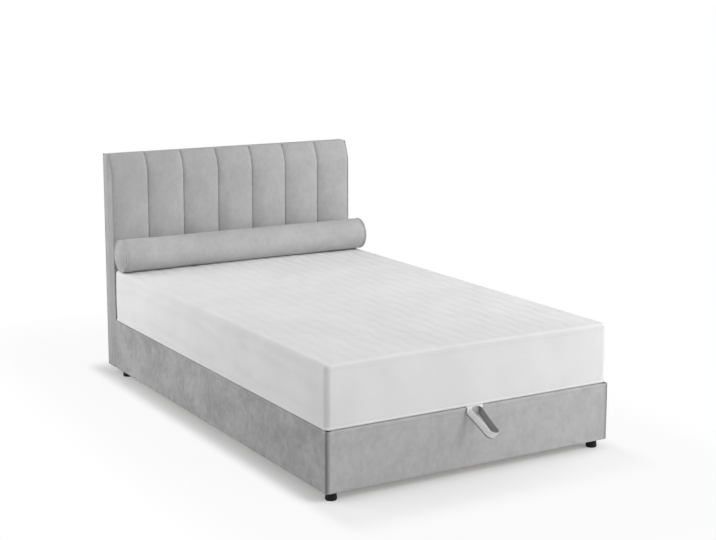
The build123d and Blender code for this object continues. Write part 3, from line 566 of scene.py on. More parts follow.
def cover_shape(sizes, spans, to_place, ends_round):
    """Velvet cover of one board: a section carried along the board, uneven as hand-pulled cloth is."""
    thickness = rim_high.z - board_high.z
    turn = board_high.x - board_low.x
    section = wrapped_section(rim_high.z, rim_low.z, turn, thickness)
    seam_z = rim_high.z - sizes.rim_seam_drop
    middle = (rim_low.z + rim_high.z) / 2
    half = (rim_high.z - rim_low.z) / 2
    start, end = spans
    near_end = (0.0012, 0.003, end_turn)
    marks = steps(start, end, 0.011) + [start + near for near in near_end] + [end - near for near in near_end]
    rows = []
    for along in sorted(marks):
        from_end = min(along - start, end - along)
        row = []
        for outward, height in section:
            if outward > thickness / 2:
                # Crown of the padding, unevenness, the sewn line, and the fold that swells above it
                full = max(0, 1 - ((height - middle) / half) ** 4)
                place = to_place(along, outward, height)
                outward += 0.0012 * full - 0.0008
                outward += ripple(place, 5, 0.0012) * full
                outward += ripple((place[0], place[1], place[2] * 0.4), 22, 0.0005)
                outward -= sizes.rim_seam_depth * exp(-((height - seam_z) / 0.003) ** 2)
                outward += 0.0006 * exp(-((height - seam_z - 0.0075) / 0.005) ** 2)
            if outward > 0 and from_end < end_turn:
                bite = 1 - from_end / end_turn
                outward = max(0.0004, outward - ends_round * (1 - sqrt(1 - bite * bite)))
            row.append(to_place(along, outward, height))
        rows.append(row)
    return join_rings(rows)


class BED_OT_box_covers(bpy.types.Operator):
    """Make the velvet covers of the box's two sides and foot."""

    bl_idname = "bed.box_covers"
    bl_label = "Box Covers"

    def execute(self, context):
        sizes = context.scene.bed_sizes
        side_span = (foot_board_low.y + 0.0003, board_high.y - 0.0003)
        for name, sign in both_sides:

            def beside(along, outward, height, sign=sign):
                return sign * (board_high.x + outward), along, height

            shape = cover_shape(sizes, side_span, beside, 0.0050)
            piece = make_piece(f"velvet_side_{name}", [shape], "velvet", "box", [f"side_cover_{name}"])

        def before(along, outward, height):
            return along, foot_board_low.y - outward, height

        shape = cover_shape(sizes, (rim_low.x, rim_high.x), before, 0.0052)
        piece = make_piece("velvet_foot", [shape], "foot_velvet", "box", ["foot_cover"])
        return {"FINISHED"}


def inside_corners(x, y, half_x, low_y, high_y, radius):
    """Distance inside a rounded rectangle, with the place moved onto its edge where it lies outside."""
    middle_y, half_y = (low_y + high_y) / 2, (high_y - low_y) / 2
    over_x, over_y = abs(x) - (half_x - radius), abs(y - middle_y) - (half_y - radius)
    if over_x > 0 and over_y > 0:
        away = hypot(over_x, over_y)
        if away > radius:
            over_x, over_y = over_x * radius / away, over_y * radius / away
            x = (half_x - radius + over_x) * (1 if x > 0 else -1)
            y = middle_y + (half_y - radius + over_y) * (1 if y > middle_y else -1)
        return x, y, max(0, radius - away)
    return x, y, min(half_x - abs(x), half_y - abs(y - middle_y))


def quilt_height(sizes, x, y):
    """Height of the quilting at a place: soft ridges between wavy sewn lines."""
    def line(number):
        swing = sin(2 * pi * y / sizes.quilt_wave_length + pi * (number % 2) + 0.7 * sin(number * 1.7))
        return (number + 0.5) * sizes.quilt_pitch + sizes.quilt_wave * swing

    number = int(x // sizes.quilt_pitch)
    for left in (number - 1, number, number + 1):
        first, second = line(left), line(left + 1)
        if first <= x < second:
            across = 2 * (x - first) / (second - first) - 1
            dashed = 0.64 + 0.36 * sin(4 * pi * y / sizes.quilt_wave_length + 2.1 * left + 0.6)
            return sizes.quilt_depth * (1 - dashed * abs(across) ** 2.2)
    return 0


def mattress_top_height(sizes, x, y):
    """Height of the mattress top at a place, and that place moved inside its corners."""
    crown = top_high.z - 0.0005 - top_crown * (x / top_high.x) ** 2
    x, y, inside = inside_corners(x, y, top_high.x, top_low.y, top_high.y, sizes.mattress_corner)
    edge = sizes.mattress_edge
    if inside < edge:
        crown -= edge - sqrt(edge * edge - (edge - inside) ** 2)
    fade = share_of((inside - 0.007) / 0.018)
    quilted = (quilt_height(sizes, x, y) - sizes.quilt_depth) * fade * fade * (3 - 2 * fade)
    spread = 1 + sizes.mattress_spread / top_high.x
    return x * spread, y, crown + quilted + ripple((x, y, 0), 3, 0.0012) * fade


def near_edges(low, high, pitch):
    """Places across a span, closer together near its two edges."""
    fringe, fringe_end = (0, 0.0006, 0.0018, 0.0036, 0.006, 0.009, 0.0125, 0.0165, 0.021, 0.026), 0.031
    middle = steps(low + fringe_end, high - fringe_end, pitch)
    return [low + place for place in fringe] + middle + [high - place for place in reversed(fringe)]


def edge_of_grid(rows):
    """The outermost points of a grid, in order round it."""
    return (
        rows[0][:-1]
        + [row[-1] for row in rows[:-1]]
        + rows[-1][:0:-1]
        + [row[0] for row in rows[:0:-1]]
    )


def rounded_outline(half_x, half_y, middle_y, radius):
    """Points round a rectangle with round corners, each with the direction in which it faces."""
    outline = []
    corners = (
        (half_x, -half_y, -pi / 2), (half_x, half_y, 0), (-half_x, half_y, pi / 2), (-half_x, -half_y, pi)
    )
    for number, (x, y, start) in enumerate(corners):
        for angle in steps(start, start + pi / 2, pi / 16):
            side_x, side_y = cos(angle), sin(angle)
            outline.append((x + radius * side_x, middle_y + y + radius * side_y, side_x, side_y))
        here_x, here_y = outline[-1][:2]
        next_x, next_y, next_start = corners[(number + 1) % 4]
        run_x = next_x + radius * cos(next_start) - here_x
        run_y = middle_y + next_y + radius * sin(next_start) - here_y
        count = round(hypot(run_x, run_y) / 0.014)
        for step in range(1, count):
            share = step / count
            outline.append((here_x + run_x * share, here_y + run_y * share, side_x, side_y))
    return outline


class BED_OT_mattress(bpy.types.Operator):
    """Make the mattress: its quilted top and the plain cloth of its sides."""

    bl_idname = "bed.mattress"
    bl_label = "Mattress"

    def execute(self, context):
        sizes = context.scene.bed_sizes
        self.make_top(sizes)
        self.make_sides(sizes)
        return {"FINISHED"}

    def make_top(self, sizes):
        rows = [
            [mattress_top_height(sizes, x, y) for x in near_edges(-top_high.x, top_high.x, 0.0058)]
            for y in near_edges(top_low.y, top_high.y, 0.011)
        ]
        top = join_grid(rows)
        ring = edge_of_grid(rows)
        levels = (0, 0.3, 0.7, 0.9, 0.97, 1)
        walls = [[(x, y, z + (top_low.z - z) * level) for x, y, z in ring] for level in levels]
        tucked = [(x * 0.985, y * 0.99, top_low.z - 0.0005) for x, y, z in ring]
        rim = join_grid(walls + [tucked], round_columns=True)
        under = tucked, [tuple(range(len(tucked)))]
        shapes = [top, rim, under]
        piece = make_piece("mattress_quilt", shapes, "mattress_cloth", "lid", ["mattress_top"])

    def make_sides(self, sizes):
        """Sides and underside, drawn in under the quilted top and over a sewn hem at the bottom."""
        low, high = mattress_low.z, top_low.z
        radius = sizes.mattress_corner
        half_x = mattress_high.x + sizes.mattress_spread - radius
        half_y = (mattress_high.y - mattress_low.y) / 2 - radius
        plan = rounded_outline(half_x, half_y, (mattress_high.y + mattress_low.y) / 2, radius)
        # How far each level stands out, and how far it lies below the top or above the bottom
        upper = ((-0.030, 0.0004), (-0.001, 0.0004), (-0.0003, 0.0005), (0, 0.0009), (0, 0.0013), (0, 0.002))
        lower = (
            (-0.0004, 0.0115), (-0.0008, 0.0095), (0.0012, 0.0075), (0.0018, 0.0045), (0.0012, 0.0015),
            (-0.0008, -0.001), (-0.004, -0.0014), (-0.012, -0.0008), (-0.030, 0),
        )
        levels = [(outward, high - drop) for outward, drop in upper]
        levels += [(0, height) for height in steps(high - 0.004, low + 0.014, 0.009)]
        levels += [(outward, low + rise) for outward, rise in lower]
        rows = []
        for outward, height in levels:
            rise = (height - low) / (high - low)
            full = max(0, 4 * rise * (1 - rise))
            row = []
            for x, y, side_x, side_y in plan:
                uneven = (ripple((x, y, height), 3, 0.0010) + ripple((x, y, height * 0.5), 14, 0.0004)) * full
                out = outward + sizes.mattress_bulge * full + uneven
                # The hem stands out at the corners, and stays level towards the headboard
                out += 0.004 * (2 * side_x * side_y) ** 2 * max(0, 1 - (height - low) / 0.02)
                lifted = min(0, height - low) * share_of((y - 0.4) / 0.6)
                row.append((x + out * side_x, y + out * side_y, height - lifted))
            rows.append(row)
        sides = join_rings(rows)
        piece = make_piece("mattress_sides", [sides], "mattress_cloth", "lid", ["mattress_cover"])


class BED_OT_bolster(bpy.types.Operator):
    """Make the bolster: a soft roll with domed, piped ends that lies on the mattress."""

    bl_idname = "bed.bolster"
    bl_label = "Bolster"

    def execute(self, context):
        sizes = context.scene.bed_sizes
        # Room round the roll that its filling swells into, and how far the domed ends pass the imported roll
        room, past_end = 0.0018, 0.013
        middle_y = (roll_low.y + roll_high.y) / 2
        radius = (roll_high.y - roll_low.y) / 2 - room
        half = roll_high.x + past_end - sizes.roll_dome
        middle_z = roll_high.z - room - radius

        def rest(x, y, z):
            """Keep a point off the mattress's crown."""
            return x, y, max(z, top_high.z + 0.0004 - top_crown * min(1, abs(x) / top_high.x) ** 2)

        ends = [
            (-half - sizes.roll_dome * (1 - dome ** 2), radius * dome * 0.985)
            for dome in (0.02, 0.2, 0.45, 0.7, 0.88, 0.97)
        ]
        body = [(x, radius) for x in steps(-half, half, 0.008)]
        rings = []
        for x, size in ends + body + [(-x, size) for x, size in reversed(ends)]:
            inside = max(0, half - abs(x))
            row = []
            for angle in round_angles(72):
                gather = exp(-inside / 0.018) * (0.0009 * sin(angle * 31 + 2 * sin(angle * 3)))
                soft = ripple((x * 0.7, cos(angle) * 0.2, sin(angle) * 0.2), 11, 0.0016)
                out = size + (gather + soft) * min(1, size / radius) - 0.0028 * exp(-(inside / 0.013) ** 2)
                row.append(rest(x, middle_y + out * cos(angle), middle_z + out * sin(angle)))
            rings.append(row)
        shape = join_rings(rings)
        piece = make_piece("bolster_roll", [shape], "bolster_velvet", "bolster", ["bolster_cover"])
        held = [
            vertex.index for vertex in piece.data.vertices
            if half - 0.004 < abs(vertex.co.x) or vertex.co.z < middle_z - radius * 0.93
        ]
        swell(piece, 2.5, 0.0022, held)
        for vertex in piece.data.vertices:
            vertex.co = rest(*vertex.co)

        for name, sign in both_sides:
            rings = []
            for angle in round_angles(96):
                row = []
                for around in round_angles(10):
                    out = radius + sizes.roll_piping * (cos(around) - 0.85)
                    side = sign * (half + 0.0006) + sizes.roll_piping * sin(around)
                    row.append(rest(side, middle_y + out * cos(angle), middle_z + out * sin(angle)))
                rings.append(row)
            shape = join_grid(rings + rings[:1], round_columns=True)
            make_piece(f"bolster_piping_{name}", [shape], "bolster_velvet", "bolster")
        return {"FINISHED"}


def front_line(sizes, depth, height):
    """Y of the headboard's front at a depth behind its crests, swept back over the top."""
    face = pad_low.y
    start = cad_high.z - sizes.sweep_height
    sweep = (sizes.sweep_height ** 2 + sizes.sweep_depth ** 2) / (2 * sizes.sweep_depth)
    if height <= start:
        return face + depth
    rise = min(height - start, sweep * 0.9)
    return face + sweep - sqrt((sweep - depth) ** 2 - rise ** 2)


def behind_crest(sizes, x, height):
    """How far a place on the channels lies behind their crests."""
    pitch = 2 * pad_high.x / sizes.channels
    across = ((x + pad_high.x) / pitch) % 1 * 2 - 1
    if abs(abs(x) - pad_high.x) < 0.0001:
        across = 1
    to_seam = (1 - abs(across)) * pitch / 2
    depth = sizes.channel_depth * abs(across) ** 2.6 + sizes.seam_roll * abs(across) ** 14
    opened = share_of((height - cad_high.z + sizes.sweep_height + 0.03) / 0.08)
    depth += sizes.seam_pinch * exp(-(to_seam / 0.0028) ** 2) * (1 - 0.75 * opened)
    near = exp(-((to_seam - 0.009) / 0.012) ** 2)
    depth += ripple((x * 0.3, 0, height), 46, sizes.pucker_depth * 1.6) * near
    depth += ripple((x, 1, height * 0.6), 9, 0.0014)
    return depth


class BED_OT_headboard(bpy.types.Operator):
    """Make the headboard's channelled front, the band round its edge and the cloth on its back."""

    bl_idname = "bed.headboard"
    bl_label = "Headboard"

    def execute(self, context):
        sizes = context.scene.bed_sizes
        self.make_front(sizes)
        self.make_band(sizes)
        self.make_back()
        return {"FINISHED"}

    def make_front(self, sizes):
        """The channelled front, and the plain cloth of the pad below it."""
        pitch = 2 * pad_high.x / sizes.channels
        # Columns stand closer together near the seams
        fringe, fringe_end = (0, 0.0012, 0.0028, 0.005, 0.008, 0.0125), 0.019
        places = []
        for channel in range(sizes.channels):
            left = channel * pitch - pad_high.x
            places += [left + step for step in fringe]
            places += steps(left + fringe_end, left + pitch - fringe_end, 0.009)
            places += [left + pitch - step for step in reversed(fringe[1:])]
        places.append(pad_high.x)
        heights = steps(pad_low.z, pad_high.z - 0.002, 0.0095)
        top_seam = front_line(sizes, sizes.channel_depth, cad_high.z)
        rolled_edge = ((0.12, 0.0018), (0.3, 0.0032), (0.55, 0.0041), (0.8, 0.0043), (0.96, 0.0038))
        rows = []
        for x in places:
            row = []
            for height in heights:
                depth = behind_crest(sizes, x, height)
                low = max(0, 1 - (height - pad_low.z) / 0.006)
                row.append((x, front_line(sizes, depth + 0.004 * low * low, height), height))
            start_y = row[-1][1]
            for share, rise in rolled_edge:
                row.append((x, start_y + (top_seam + 0.0015 - start_y) * share, heights[-1] + rise))
            row += [(x, y, pad_high.z - 0.001) for y in steps(top_seam + 0.0015, pad_high.y, 0.006)]
            row += [(x, pad_high.y, height) for height in steps(pad_high.z - 0.02, pad_low.z, 0.09)]
            rows.append(row)
        shape = join_rings(rows)
        piece = make_piece("headboard_channels", [shape], "headboard_velvet", "box", ["headboard_pad"])
        seams = [number * pitch - pad_high.x for number in range(sizes.channels + 1)]
        held = [
            vertex.index for vertex in piece.data.vertices
            if vertex.co.y > pad_high.y - 0.006
            or vertex.co.z < pad_low.z + 0.004
            or vertex.co.z > pad_high.z - 0.004
            or min(abs(vertex.co.x - seam) for seam in seams) < 0.0035
        ]
        swell(piece, 3, 0.0045, held)

        rows = []
        for x in steps(base_low.x, base_high.x, 0.03):
            end = min(x - base_low.x, base_high.x - x)
            thin = 0.0015 if end < 0.001 else 0
            heights = steps(base_low.z + 0.001, base_high.z - 0.0005, 0.02)
            front = [
                (x, base_low.y + 0.0003 + thin + ripple((x, 0, height), 20, 0.0003), height)
                for height in heights
            ]
            rows.append(front + [(x, base_high.y, height) for height in reversed(heights)])
        shape = join_rings(rows)
        piece = make_piece("headboard_lower_cloth", [shape], "velvet", "box", ["headboard_base_pad"])

    def make_band(self, sizes):
        """Band of velvet up one side of the headboard, over its top and down again, and the pad's sides."""
        thickness = border_high.x - pad_high.x
        bend, pitch = 0.006, 0.012
        side_x, top_z = pad_high.x, pad_high.z
        path = [(-side_x, height, -1, 0) for height in steps(border_low.z, top_z - bend, pitch)]
        path += [
            (-side_x + bend - bend * cos(angle), top_z - bend + bend * sin(angle), -cos(angle), sin(angle))
            for angle in steps(pi / 12, 5 * pi / 12, pi / 12)
        ]
        path += [(x, top_z, 0, 1) for x in steps(-side_x + bend, 0, pitch)]
        path += [(-x, z, -out_x, out_z) for x, z, out_x, out_z in reversed(path[:-1])]
        rows = []
        cuts = 16
        seam_y = back_low.y - sizes.band_width
        for x, z, out_x, out_z in path:
            front = max(seam_y, front_line(sizes, sizes.channel_depth, z + thickness * out_z))
            back = back_low.y - 0.0002
            outer, inner = [], []
            for step in range(cuts + 1):
                share = step / cuts
                share = share - 0.055 * sin(4 * pi * share) * 0.9
                y = front + (back - front) * share
                edge = min(y - front, back - y)
                full = sqrt(max(0, 1 - max(0, 1 - edge / thickness) ** 2))
                out = thickness * full * 0.92
                out += ripple((x, y, z), 13, 0.0007) * full
                out = max(out, 0.0001)
                outer.append((x + out_x * out, y, z + out_z * out))
                inner.append((x, y, z))
            rows.append(outer + inner[::-1])
        shape = join_rings(rows)
        piece = make_piece("headboard_band", [shape], "band_velvet", "box", ["headboard_border"])

        cuts = 14
        for name, sign in both_sides:
            rows = []
            for z in steps(border_low.z, top_z - 0.0005, pitch):
                front = front_line(sizes, sizes.channel_depth, z)
                tucked = share_of((rim_high.z + 0.012 - z) / 0.014)
                front = min(front - (sizes.channel_depth - 0.0015) * tucked, seam_y - 0.002)
                outer, inner = [], []
                for step in range(cuts + 1):
                    share = (1 - cos(pi * step / cuts)) / 2
                    y = front + (seam_y + 0.0006 - front) * share
                    out = -0.004 + (thickness + 0.0038) * sin(pi / 2 * min(1, share * 1.25)) ** 0.8
                    out -= 0.0016 * max(0, share - 0.85) / 0.15
                    out += ripple((y, z, sign), 15, 0.0006) * share * (1 - share) * 4
                    outer.append((sign * (side_x + out), y, z))
                    inner.append((sign * (side_x - 0.0045), y, z))
                rows.append(outer + inner[::-1])
            piece = make_piece(f"headboard_flank_{name}", [join_rings(rows)], "flank_velvet", "box")

    def make_back(self):
        """Felt over the headboard's back, hemmed and stapled round its edge."""
        low, high = back_low, back_high
        rows = []
        inset, pitch = 0.0008, 0.016
        for x in steps(low.x + inset, high.x - inset, pitch):
            front, back = [], []
            for z in steps(low.z + inset, high.z - inset, pitch):
                inside = min(x - low.x, high.x - x, z - low.z, high.z - z)
                hem = 0.0012 * exp(-((inside - 0.012) / 0.008) ** 2)
                loose = min(1, inside / 0.05) * ripple((x, 0, z), 7, 0.0006)
                front.append((x, high.y - 0.0012 - loose + hem, z))
                back.append((x, low.y + 0.0001, z))
            rows.append(front + back[::-1])
        piece = make_piece("headboard_back_felt", [join_rings(rows)], "felt", "box", ["headboard_back"])

        staples = []
        inset, from_corner, pitch = 0.013, 0.05, 0.075
        for z in steps(low.z + from_corner, high.z - from_corner, pitch):
            staples += [(low.x + inset, z, 0, 1), (high.x - inset, z, 0, 1)]
        for x in steps(low.x + from_corner, high.x - from_corner, pitch):
            staples += [(x, low.z + inset, 1, 0), (x, high.z - inset, 1, 0)]
        wire = ((-0.0006, -0.0006), (-0.0006, 0.0001), (0.0006, 0.0001), (0.0006, -0.0006))
        shapes = []
        for x, z, run_x, run_z in staples:
            rows = []
            for along in (-0.005, -0.0046, 0.0046, 0.005):
                lift = 0.0004 if abs(along) < 0.0048 else -0.0012
                rows.append([
                    (
                        x + run_x * along - run_z * across,
                        high.y + lift + out,
                        z + run_z * along + run_x * across,
                    )
                    for across, out in wire
                ])
            shapes.append(join_rings(rows))
        make_piece("headboard_staples", shapes, "steel", "box", smooth=False)


class BED_OT_lid_cloth(bpy.types.Operator):
    """Make the felt on the lid and the strings of pocket springs under it."""

    bl_idname = "bed.lid_cloth"
    bl_label = "Lid Cloth"

    def execute(self, context):
        rows = []
        pitch = 0.02
        for x in steps(lid_low.x, lid_high.x, pitch):
            upper, lower = [], []
            for y in steps(lid_low.y, lid_high.y, pitch):
                inside = min(x - lid_low.x, lid_high.x - x, y - lid_low.y, lid_high.y - y)
                thinner = 0.0008 if inside < 0.001 else 0
                upper.append((x, y, lid_high.z - 0.0003 - thinner))
                lower.append((x, y, lid_low.z + 0.0001 + thinner))
            rows.append(upper + lower[::-1])
        piece = make_piece("lid_felt", [join_rings(rows)], "lid_felt", "lid", ["lid_cover"])

        low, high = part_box("lid_springs")
        diameter, gap = 0.084, 0.001
        strings = round((high.x - low.x + gap) / (diameter + gap))
        pockets = round((high.y - low.y) / diameter)
        shapes = []
        bulges = ((0, 0.80), (0.06, 0.93), (0.2, 0.985), (0.5, 1), (0.8, 0.985), (0.94, 0.93), (1, 0.80))
        for string in range(strings):
            middle_x = low.x + diameter / 2 + string * (diameter + gap)
            for pocket in range(pockets):
                middle_y = low.y + diameter * (pocket + 0.5)
                rows = []
                for rise, full in bulges:
                    out = full * (diameter / 2 - 0.0003)
                    height = low.z + 0.0003 + (high.z - low.z - 0.0006) * rise
                    rows.append([
                        (middle_x + out * cos(angle), middle_y + out * sin(angle), height)
                        for angle in round_angles(16)
                    ])
                shapes.append(join_rings(rows))
        piece = make_piece("lid_spring_pockets", shapes, "spring_pockets", "lid", ["lid_springs"])
        return {"FINISHED"}


class BED_OT_pull_strap(bpy.types.Operator):
    """Make the pull strap: one loop of webbing that hangs before the foot, sewn flat on the lid."""

    bl_idname = "bed.pull_strap"
    bl_label = "Pull Strap"

    def execute(self, context):
        sizes = context.scene.bed_sizes
        half, leg = sizes.strap_spacing / 2, sizes.strap_leg
        level = rim_high.z + 0.0003 + sizes.strap_thickness / 2
        out = Vector((0, -cos(sizes.strap_droop), -sin(sizes.strap_droop)))
        under = Vector((0, sin(sizes.strap_droop), -cos(sizes.strap_droop)))
        root = Vector((-0.001, rim_low.y + 0.003, level))
        first_leg = [
            (-half * (1 + sizes.strap_splay * (1 - along / leg) ** 1.6), along)
            for along in steps(0, leg, 0.005)
        ]
        turn = [(-half * cos(angle), leg + half * sin(angle)) for angle in steps(0, pi, pi / 24)[1:-1]]
        path = first_leg + turn + [(-x, reach) for x, reach in reversed(first_leg)]
        middles = [root + Vector((x + sizes.strap_skew * reach, 0, 0)) + out * reach for x, reach in path]
        rows = []
        for number, (x, reach) in enumerate(path):
            ahead, behind = middles[min(number + 1, len(path) - 1)], middles[max(number - 1, 0)]
            run = (ahead - behind).normalized()
            twist = share_of((reach - 0.002) / 0.017)
            twist = twist * twist * (3 - 2 * twist)
            lean = sizes.strap_lean * (0.75 - 0.25 * max(-1, min(1, x / half)))
            hanging = under * cos(lean) + Vector((-sin(lean), 0, 0))
            level_side = Vector((-1 if x < 0 else 1, 0, 0))
            width = hanging * twist + level_side * (1 - twist)
            width = (width - run * width.dot(run)).normalized()
            face = run.cross(width).normalized()
            middle = middles[number] + hanging * (sizes.strap_width / 2 * twist)
            row = []
            for share, thick in self.outline():
                bow = 0.0011 * (1 - (2 * share) ** 2) * twist
                across = width * (sizes.strap_width * share)
                row.append(middle + across - face * (sizes.strap_thickness * thick + bow))
            rows.append(row)
        shapes = [join_rings(rows), self.tab(sizes, level)]
        piece = make_piece("strap_webbing", shapes, "webbing", "lid", ["pull_strap"])
        piece.data.materials.append(finish_of("webbing_lining"))
        # The faces of the loop's inner side and of a strip round one edge get the second finish: a darker
        # copy of the webbing, painted shade where the loop lies in its own shade
        around = len(rows[0])
        for part in piece.data.polygons[:(len(rows) - 1) * around]:
            if part.index % around < around / 2 - 1 or part.index % around > around - 5:
                part.material_index = 1
        return {"FINISHED"}

    def outline(self):
        """Section of the webbing: share of its width, and share of its thickness."""
        edge = [0.5, 0.49, 0.46, 0.3, 0.1]
        half = [(share, -0.5 if share < 0.49 else -0.28) for share in edge]
        upper = half + [(-share, thick) for share, thick in reversed(half)]
        return upper + [(share, -thick) for share, thick in reversed(upper)]

    def tab(self, sizes, level):
        """The two ends side by side, over the box's rim and down the lid's foot rail."""
        narrow = sizes.strap_spacing / 2 + sizes.strap_thickness / 2
        wide = sizes.strap_spacing / 2 * (1 + sizes.strap_splay) + sizes.strap_width / 2
        front, back = rim_low.y + 0.003, rail_low.y - sizes.strap_thickness / 2
        thick = sizes.strap_thickness / 2 * 0.96
        bend, hang, pitch = 0.004, 0.031, 0.006
        path = [(y, level, 0, 1) for y in steps(front, back - bend, pitch)]
        path += [
            (back - bend + bend * sin(angle), level - bend * (1 - cos(angle)), sin(angle), cos(angle))
            for angle in steps(pi / 8, pi / 2, pi / 8)
        ]
        path += [(back, z, 1, 0) for z in steps(level - pitch, level - hang, pitch)]
        rows = []
        for y, z, up_y, up_z in path:
            half = narrow + (wide - narrow) * max(0, (back - 2 * bend - y) / (back - 2 * bend - front))
            row = []
            for share, side in self.outline():
                groove = 0.5 * exp(-(share * 2 * half / 0.0016) ** 2)
                out = thick * (2 * side) * (1 - groove)
                row.append((share * 2 * half, y + up_y * out, z + up_z * out))
            rows.append(row)
        return join_rings(rows)


class BED_OT_fittings(bpy.types.Operator):
    """Give every part that keeps its own shape the finish of its material."""

    bl_idname = "bed.fittings"
    bl_label = "Fittings"

    def execute(self, context):
        for part in frame["record"]["subparts"]:
            piece = frame["nodes"][part["node"]]
            piece.data.materials.clear()
            piece.data.materials.append(finish_of(part["material_slot"]))
        return {"FINISHED"}


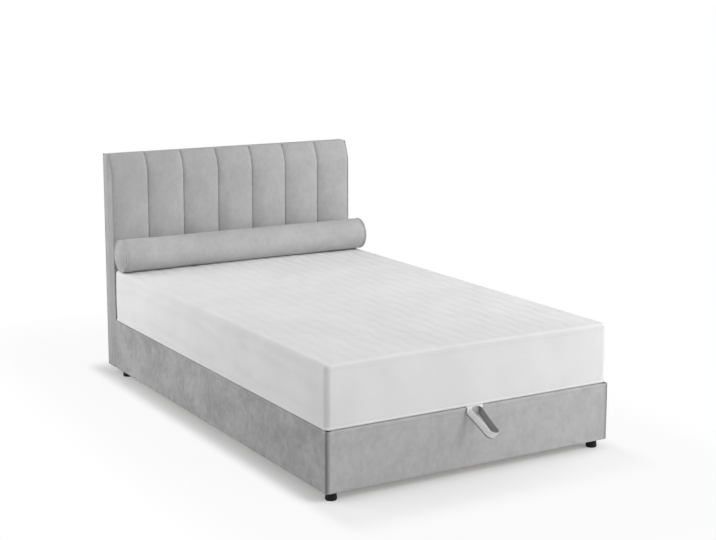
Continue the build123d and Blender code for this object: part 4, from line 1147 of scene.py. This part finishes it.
class BED_OT_studio(bpy.types.Operator):
    """Make the floor, the light and the camera."""

    bl_idname = "bed.studio"
    bl_label = "Studio"

    def execute(self, context):
        scene = context.scene
        rings = [
            [(radius * cos(angle), radius * sin(angle), -0.0005) for angle in round_angles(64)]
            for radius in (0.5, 1.5, 3, 5, 8, 14, 30)
        ]
        points, faces = join_grid(rings, round_columns=True)
        faces.append(tuple(range(len(rings[0]))))
        mesh = bpy.data.meshes.new("studio_floor")
        mesh.from_pydata(points, [], faces)
        floor = bpy.data.objects.new("studio_floor", mesh)
        scene.collection.objects.link(floor)
        mesh.materials.append(self.floor_look(scene.bed_colours.floor))
        self.light(scene)
        self.aim_camera(scene)
        return {"FINISHED"}

    def seen(self, look):
        """1 where a ray comes straight from the camera, a reflection or through glass."""
        kinds = ("Is Camera Ray", "Is Glossy Ray", "Is Transmission Ray")
        rays = [look.node("ShaderNodeLightPath", out=kind) for kind in kinds]
        return rays[0].highest(rays[1]).highest(rays[2])

    def floor_look(self, colour):
        """Pale floor that keeps its shadow near the bed, is whitened further out by painted light, and fades
        into the white background.
        """
        material = bpy.data.materials.new("studio_floor")
        look = Look(material, {"Roughness": 0.9, "Specular IOR Level": 0, "Emission Strength": 1})
        seen = self.seen(look)
        # Painted light: where the camera sees it, the floor blends up to 95 % into plain white emission as
        # its stretched distance from the bed's footprint goes from 0.02 to 0.42. The distance beside the bed
        # counts 4.6 times and the distance before or behind it counts twice, so the shadow is wiped out a
        # short way from the bed
        beside = (look.axis("X").size() - cad_high.x).highest(0) * 4.6
        beyond = (look.axis("Y").size() - cad_high.y).highest(0) * 2.0
        away = (beside * beside + beyond * beyond).root()
        painted_light_share = away.ramp(0.02, 0.42) * 0.95
        far = away.ramp(0.8, 2.6)
        own_light = (0.24, 0.24, 0.24, 1)
        look.feed("Base Color", look.paint(shade(colour, 0.6), shade(colour, 0.82), seen))
        look.feed("Emission Color", look.paint((0, 0, 0, 1), own_light, seen))
        background = look.paint((0.965, 0.965, 0.965, 1), (1, 1, 1, 1), far)
        white = look.node("ShaderNodeEmission", inputs={"Color": background})
        blend = look.node("ShaderNodeMixShader", inputs={0: painted_light_share.highest(far) * seen, 2: white})
        look.tree.links.new(look.shader.outputs[0], blend.socket.node.inputs[1])
        look.tree.links.new(blend.socket, look.tree.nodes["Material Output"].inputs["Surface"])
        return material

    def light(self, scene):
        """Pale light from all round, a soft key from the foot's right, a side light and four panels."""
        world = bpy.data.worlds.new("studio_light")
        scene.world = world
        on_bed = 0.38
        look = Look(world, {"Color": (1, 1, 1, 1)}, "Background")
        look.feed("Strength", on_bed + (1 - on_bed) * self.seen(look))

        # Strength, angle that the light spreads over, and direction that it comes from
        suns = {
            "studio_key": (1.5, 0.6, (0.48, -0.66, 0.58)),
            "studio_side": (0.86, 0.8, (-0.86, 0.35, 0.36)),
        }
        for name, (energy, angle, direction) in suns.items():
            lamp = self.lamp(scene, name, "SUN", energy, direction)
            lamp.angle = angle

        # Power, width, place, and how far along the bed it is turned to
        panels = {
            "studio_panel_right": (11, 1.0, (1.8, -2.5, 0.9), -1.2),
            "studio_panel_left": (16, 1.4, (-2.3, 1.7, 1.1), 0.8),
            "studio_panel_foot": (9.5, 1.2, (2.9, -1.9, 1.1), -1.2),
            "studio_panel_head": (12.5, 1.0, (2.4, -0.4, 1.7), 0.8),
        }
        for name, (energy, width, place, along) in panels.items():
            lamp = self.lamp(scene, name, "AREA", energy, Vector(place) - Vector((0, along, 0.5)), place)
            lamp.size = width

    def lamp(self, scene, name, kind, energy, direction, place=(0, 0, 0)):
        """Make a lamp whose light comes from a direction."""
        lamp = bpy.data.lights.new(name, kind)
        lamp.energy = energy
        lit = bpy.data.objects.new(name, lamp)
        scene.collection.objects.link(lit)
        lit.location = place
        lit.rotation_euler = Vector(direction).to_track_quat("Z", "Y").to_euler()
        return lamp

    def aim_camera(self, scene):
        """Camera at the height and angle from which the bed shows its foot and left side."""
        lens = bpy.data.cameras.new("studio_camera")
        camera = bpy.data.objects.new("studio_camera", lens)
        scene.collection.objects.link(camera)
        scene.camera = camera
        yaw, pitch = 0.5344, 0.1635
        camera.location = (-3.0489, -5.2748, 1.8180)
        ahead = Vector((sin(yaw) * cos(pitch), cos(yaw) * cos(pitch), -sin(pitch)))
        camera.rotation_euler = ahead.to_track_quat("-Z", "Y").to_euler()
        lens.sensor_width = 36
        lens.sensor_fit = "HORIZONTAL"
        lens.lens = 72.95
        lens.shift_y = -0.0628
        lens.clip_end = 200
        scene.view_settings.view_transform = "Standard"


class BED_PT_pieces(bpy.types.Panel):
    """Lists the pieces of the bed, its sizes and its colours."""

    bl_idname = "BED_PT_pieces"
    bl_label = "Bed"
    bl_space_type = "VIEW_3D"
    bl_region_type = "UI"
    bl_category = "Bed"

    def draw(self, context):
        for operator in operators:
            self.layout.operator(operator.bl_idname)
        for group in (context.scene.bed_sizes, context.scene.bed_colours):
            column = self.layout.column()
            for name in group.bl_rna.properties.keys():
                if name not in ("rna_type", "name"):
                    column.prop(group, name)


operators = (
    BED_OT_studio,
    BED_OT_box_covers,
    BED_OT_mattress,
    BED_OT_bolster,
    BED_OT_headboard,
    BED_OT_lid_cloth,
    BED_OT_pull_strap,
    BED_OT_fittings,
)
classes = (BedSizes, BedColours, *operators, BED_PT_pieces)


def register():
    for group in classes:
        bpy.utils.register_class(group)
    bpy.types.Scene.bed_sizes = PointerProperty(type=BedSizes)
    bpy.types.Scene.bed_colours = PointerProperty(type=BedColours)


def unregister():
    del bpy.types.Scene.bed_sizes
    del bpy.types.Scene.bed_colours
    for group in reversed(classes):
        bpy.utils.unregister_class(group)


def main():
    register()
    bpy.ops.bed.studio()
    bpy.ops.bed.box_covers()
    bpy.ops.bed.mattress()
    bpy.ops.bed.bolster()
    bpy.ops.bed.headboard()
    bpy.ops.bed.lid_cloth()
    bpy.ops.bed.pull_strap()
    bpy.ops.bed.fittings()


if __name__ == "__main__":
    main()
